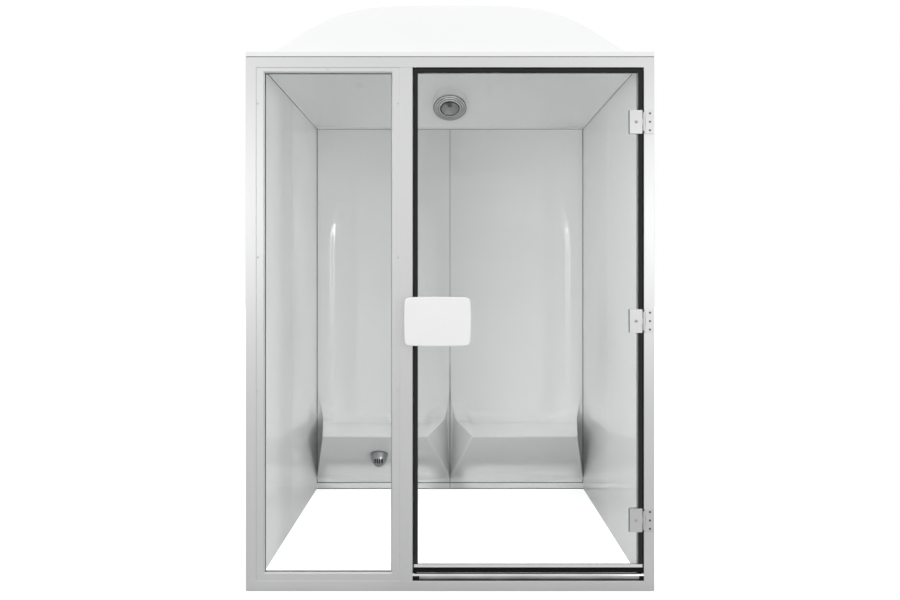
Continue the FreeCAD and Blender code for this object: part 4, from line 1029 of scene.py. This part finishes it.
# %% Outline of the cover
plate_low, plate_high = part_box("handle_plate")
cover_shift = 0.0015
cover_middle = (plate_low.x + plate_high.x) / 2 + cover_shift
cover_centre_z = (plate_low.z + plate_high.z) / 2
cover_half = (0.1285, 0.0950)
cover_power = 15
cover_bow = 0.024
turn = np.linspace(0, 2 * np.pi, 241)[None, :]
reach = (np.abs(np.cos(turn)) ** cover_power + np.abs(np.sin(turn)) ** cover_power) ** (-1 / cover_power)
outline_u = reach * np.cos(turn)
outline_v = reach * np.sin(turn)
outline_x = cover_half[0] * outline_u * (1 - cover_bow * outline_v ** 2)
outline_z = cover_half[1] * outline_v * (1 - cover_bow * outline_u ** 2)
print("cover", round(np.ptp(outline_x), 4), "by", round(np.ptp(outline_z), 4))

# %% Handle cover
cover_crown = 0.0015
cover_edge = 0.004
inset = cover_edge / cover_half[1]
face_share = np.linspace(0, 1 - inset, 16)
quarter = np.linspace(0, np.pi / 2, 9)[1:]
rim_share = 1 - inset + inset * np.sin(quarter)
cover_share = np.concatenate([face_share, rim_share, rim_share[::-1], [1 - inset, 0]])
thickness = plate_high.y - plate_low.y
cover_depth = np.concatenate([cover_crown * (face_share / face_share[-1]) ** 2,
                              cover_crown + cover_edge * (1 - np.cos(quarter)),
                              thickness - cover_edge * (1 - np.cos(quarter[::-1])),
                              [thickness, thickness]])
cover_y = np.broadcast_to((plate_low.y + cover_depth)[:, None], (len(cover_share), turn.shape[1]))
cover = np.stack([cover_middle + cover_share[:, None] * outline_x, cover_y,
                  cover_centre_z + cover_share[:, None] * outline_z], axis=2)
make_piece("handle_cover", [(cover, True, 0)], "door", [handle_white], ["handle_plate"])

# %% [markdown]
# ## Pads at the ends of the threshold
# A small black pad closes each end of the threshold bar against the frame. Each is a rounded block,
# a little proud of the bar. The one on the latch side is longer.

# %% Threshold pads
pad_proud = 0.0006
pad_height = 0.020
pad_depth = 0.012
pad_round = 0.004
pad_corner = 0.001
pad_gap = 0.0002
pad_length = {"latch": 0.026, "hinge": 0.018}
pad_front = bar_low.y - pad_proud
pad_back = pad_front + pad_depth
pad_foot = bar_low.z + pad_gap
pad_head = bar_low.z + pad_height
pad_middle = (pad_back, bar_low.z + pad_height / 2, 0)
pad_corners = [pad_middle, (pad_back, pad_head, pad_corner), (pad_front, pad_head, pad_round),
               (pad_front, pad_foot, pad_corner), (pad_back, pad_foot, pad_corner), pad_middle]
pad_section = rounded_path(pad_corners, 6, (1,) * (len(pad_corners) - 1))
pads = [swept_bar(pad_section, 0, bar_low.x, bar_low.x + pad_length["latch"]),
        swept_bar(pad_section, 0, bar_high.x - pad_length["hinge"], bar_high.x)]
make_piece("threshold_pads", pads, "cabin", [black_rubber], open_ends=True)

# %% [markdown]
# ## Screw heads
# Three kinds of screw show: small pan heads in the beads, flat heads in the hinge leaves and one larger
# head in each hinge clamp. Each head is a dome on a polar grid with a cross pressed into it, because a
# plain disc would look like a rivet.

# %% One screw head
cross_half = (0.10, 0.20)
cross_reach = (0.55, 0.68)


def screw_head(x, y, z, size):
    """Head that faces -Y, of (radius, rise, depth): rise (1 - r^2 / 2), less a soft cross, and a flat back."""
    radius, rise, depth = size
    r = np.append(np.linspace(0, 1, 25), [1.0, 0.0])[:, None]
    turn = np.linspace(0, 2 * np.pi, 49)[None, :]
    u = r * np.cos(turn)
    v = r * np.sin(turn)
    arms = [(1 - smooth_step(np.abs(a), *cross_half)) * (1 - smooth_step(np.abs(b), *cross_reach))
            for a, b in ((u, v), (v, u))]
    lift = rise * (1 - r * r / 2) - depth * np.maximum(*arms)
    lift[-2:] = 0
    return np.stack([x + radius * u, y - lift, z + radius * v], axis=2), True, 0


# %% Heads in the beads
bead_head = (0.004, 0.0016, 0.0012)
bead_low, bead_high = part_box("pane_bead_left")
bead_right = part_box("pane_bead_right")[1].x
bead_inset = 0.0065
bead_height = bead_high.z - bead_low.z
bead_shares = (0.07, 0.37, 0.63, 0.93)
bead_places = [(x, bead_low.z + share * bead_height) for share in bead_shares
               for x in (bead_low.x + bead_inset, bead_right - bead_inset)]
bead_places += [((bead_low.x + bead_right) / 2, z)
                for z in (bead_low.z + bead_inset, bead_high.z - bead_inset)]
bead_heads = [screw_head(x, bead_low.y, z, bead_head) for x, z in bead_places]
make_piece("bead_screw_heads", bead_heads, "cabin", [upright_aluminium], ["bead_screws"])

# %% Heads in the hinges
leaf_head = (0.0044, 0.0003, 0.0014)
leaf_thickness = 0.005
leaf_screw_out = 0.0225
leaf_screw_pitch = 0.033
clamp_head = (0.006, 0.0022, 0.0016)
clamp_screw_in = 0.031
hinge_x = (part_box("hinge_pins")[0].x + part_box("hinge_pins")[1].x) / 2
hinge_heights = [(low.z + high.z) / 2 for low, high in reversed(hinge_boxes)]
# Steel for the leaf screws, nearly black: the shade of their recesses is painted over the whole head
screw_steel = brushed_metal("screw_steel", (0.12, 0.122, 0.125), 0.35, even(400.0))
leaf_heads = [screw_head(hinge_x + leaf_screw_out, front_y - leaf_thickness,
                         z + step * leaf_screw_pitch, leaf_head)
              for z in hinge_heights for step in (-1, 0, 1)]
make_piece("hinge_leaf_screw_heads", leaf_heads, "cabin", [screw_steel],
           ["hinge_leaf_screws"])
clamp_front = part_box("clamp_screws")[0].y + clamp_head[1]
clamp_heads = [screw_head(hinge_x - clamp_screw_in, clamp_front, z, clamp_head) for z in hinge_heights]
make_piece("clamp_screw_heads", clamp_heads, "door", [fastener_steel], ["clamp_screws"])

# %% [markdown]
# ## The stage
# A white floor carries the cabin, in a white studio. The floor is lit as a plain pale sheet and also
# glows a little for the eye, for mirrors and for glass, so it reads as white and still keeps the
# cabin's shadow.


# %% Floor
def seen_level(finish, levels):
    """The largest level among the kinds of ray that are looking, or 0."""
    ray = finish.node_tree.nodes.new("ShaderNodeLightPath").outputs
    best = 0.0
    for kind, level in levels.items():
        best = calculate(finish, "MAXIMUM", best, calculate(finish, "MULTIPLY", ray[kind], level))
    return best


floor_half = 30.0
floor_ends = (-floor_half, floor_half)
floor_points = np.array([[[x, y, 0.0] for y in floor_ends] for x in floor_ends])
floor_mesh = bpy.data.meshes.new("floor")
floor_mesh.from_pydata(floor_points.reshape(-1, 3), [], grid_quads(2, 2, 0, True))
floor = bpy.data.objects.new("floor", floor_mesh)
bpy.context.scene.collection.objects.link(floor)
floor_finish, floor_shader = new_finish("floor_white", (0.55, 0.55, 0.55), 0.9)
floor_glow = {"Is Camera Ray": 0.75, "Is Transmission Ray": 0.75, "Is Glossy Ray": 0.1}
floor_shader.inputs["Emission Color"].default_value = (1, 1, 1, 1)
floor_finish.node_tree.links.new(seen_level(floor_finish, floor_glow),
                                 floor_shader.inputs["Emission Strength"])
floor_mesh.materials.append(floor_finish)
print("floor glows for", list(floor_glow))

# %% World
world = bpy.data.worlds.new("studio")
bpy.context.scene.world = world
world.use_nodes = True
background = world.node_tree.nodes["Background"]
background.inputs["Color"].default_value = (1, 1, 1, 1)
background.inputs["Strength"].default_value = 1.0
print("world:", world.name)

# %% [markdown]
# ## Lamps
# The white studio lights the cabin from all around, but a room behind glass gets too little of it.
# Soft lamps on both sides of the camera fill the front, the room and its side walls. One lights the
# floor, which sends light up again. Small ones inside the cabin reach the seats from above, the foot
# of the seats from the threshold and the ceiling from below. Each falls only on the pieces that it is
# meant for. Two tall strips are seen only by gloss, also through the panes: they draw the long
# highlights on the acrylic.


# %% Helpers for lamps
def soft_lamp(name, place, aim, size, power, names, spread=180):
    """Area lamp that looks from its place to a point, for pieces whose names begin like these."""
    lamp_data = bpy.data.lights.new(name, "AREA")
    lamp_data.shape = "RECTANGLE"
    lamp_data.size, lamp_data.size_y = size
    lamp_data.energy = power
    lamp_data.spread = math.radians(spread)
    lamp = bpy.data.objects.new(name, lamp_data)
    lamp.location = place
    x, y, z = (end - start for start, end in zip(place, aim))
    lamp.rotation_euler = (math.atan2(math.hypot(x, y), -z), 0, math.atan2(-x, y))
    bpy.context.scene.collection.objects.link(lamp)
    lit = bpy.data.collections.new(name + "_falls_on")
    for piece in bpy.context.scene.objects:
        if piece.type == "MESH" and piece.name.startswith(names):
            lit.objects.link(piece)
    lamp.light_linking.receiver_collection = lit
    return lamp


def unseen_lamp(*values, **named):
    """A soft lamp whose own shape stays out of the picture, of mirrors and of panes."""
    lamp = soft_lamp(*values, **named)
    lamp.visible_camera = False
    lamp.visible_glossy = False
    lamp.visible_transmission = False


# %% Lamps
front_names = ("frame", "mullion", "pane_bead", "hinge", "threshold", "door_bottom", "roof_dome", "handle")
room_names = ("back_panel", "side_panel", "steam", "light")
wall_names = ("side_panel",)
strip_names = ("back_panel", "light_trim", "door_glass", "fixed_pane")
seat_names = ("back_panel",)
front_place = {"left": (-2.3, -3.5, 1.75), "right": (1.9, -3.5, 1.6)}
front_power = {"left": 12.5, "right": 9.6}
room_power = {"left": 98, "right": 76}
wall_power = {"left": 16, "right": 58}
strip_power = {"left": 105, "right": 68}
seat_x = 0.46
foot_x = 0.40
for side, word in ((-1, "left"), (1, "right")):
    soft_lamp("front_" + word, front_place[word], aim=(0, 0, 1.45), size=(1.2, 1.0),
              power=front_power[word], names=front_names)
    unseen_lamp("room_" + word, (3.1 * side, -4.3, 1.7), aim=(-0.4 * side, 0.8, 1.2), size=(1.2, 1.4),
                power=room_power[word], names=room_names)
    unseen_lamp("wall_" + word, (3.1 * side, -4.3, 1.5), aim=(-0.8 * side, 0.4, 1.0), size=(1.2, 1.4),
                power=wall_power[word], names=wall_names)
    strip = soft_lamp("strip_" + word, (1.9 * side, -3.6, 1.56), aim=(0, 0.8, 1.4), size=(0.8, 1.5),
                      power=strip_power[word], names=strip_names)
    strip.visible_diffuse = False
    strip.visible_camera = False
    unseen_lamp("seat_" + word, (seat_x * side, 0.5, 2.05), aim=(seat_x * side, 0.501, 0), size=(0.5, 0.3),
                power=0.34, names=seat_names, spread=40)
    unseen_lamp("foot_" + word, (foot_x * side, -0.6, 0.07), aim=(foot_x * side, 0.79, 0.09),
                size=(0.52, 0.04), power=0.88, names=seat_names, spread=8)
unseen_lamp("floor_light", (0, 0, 2.1), aim=(0, 0.001, 0), size=(1.2, 1.2), power=17, names=("floor",))
unseen_lamp("ceiling_light", (0, -0.6, 0.05), aim=(0, -0.599, 2), size=(1.3, 0.8), power=0.42,
            names=("roof_dome",), spread=90)
print("lamps:", [lamp.name for lamp in bpy.data.lights])
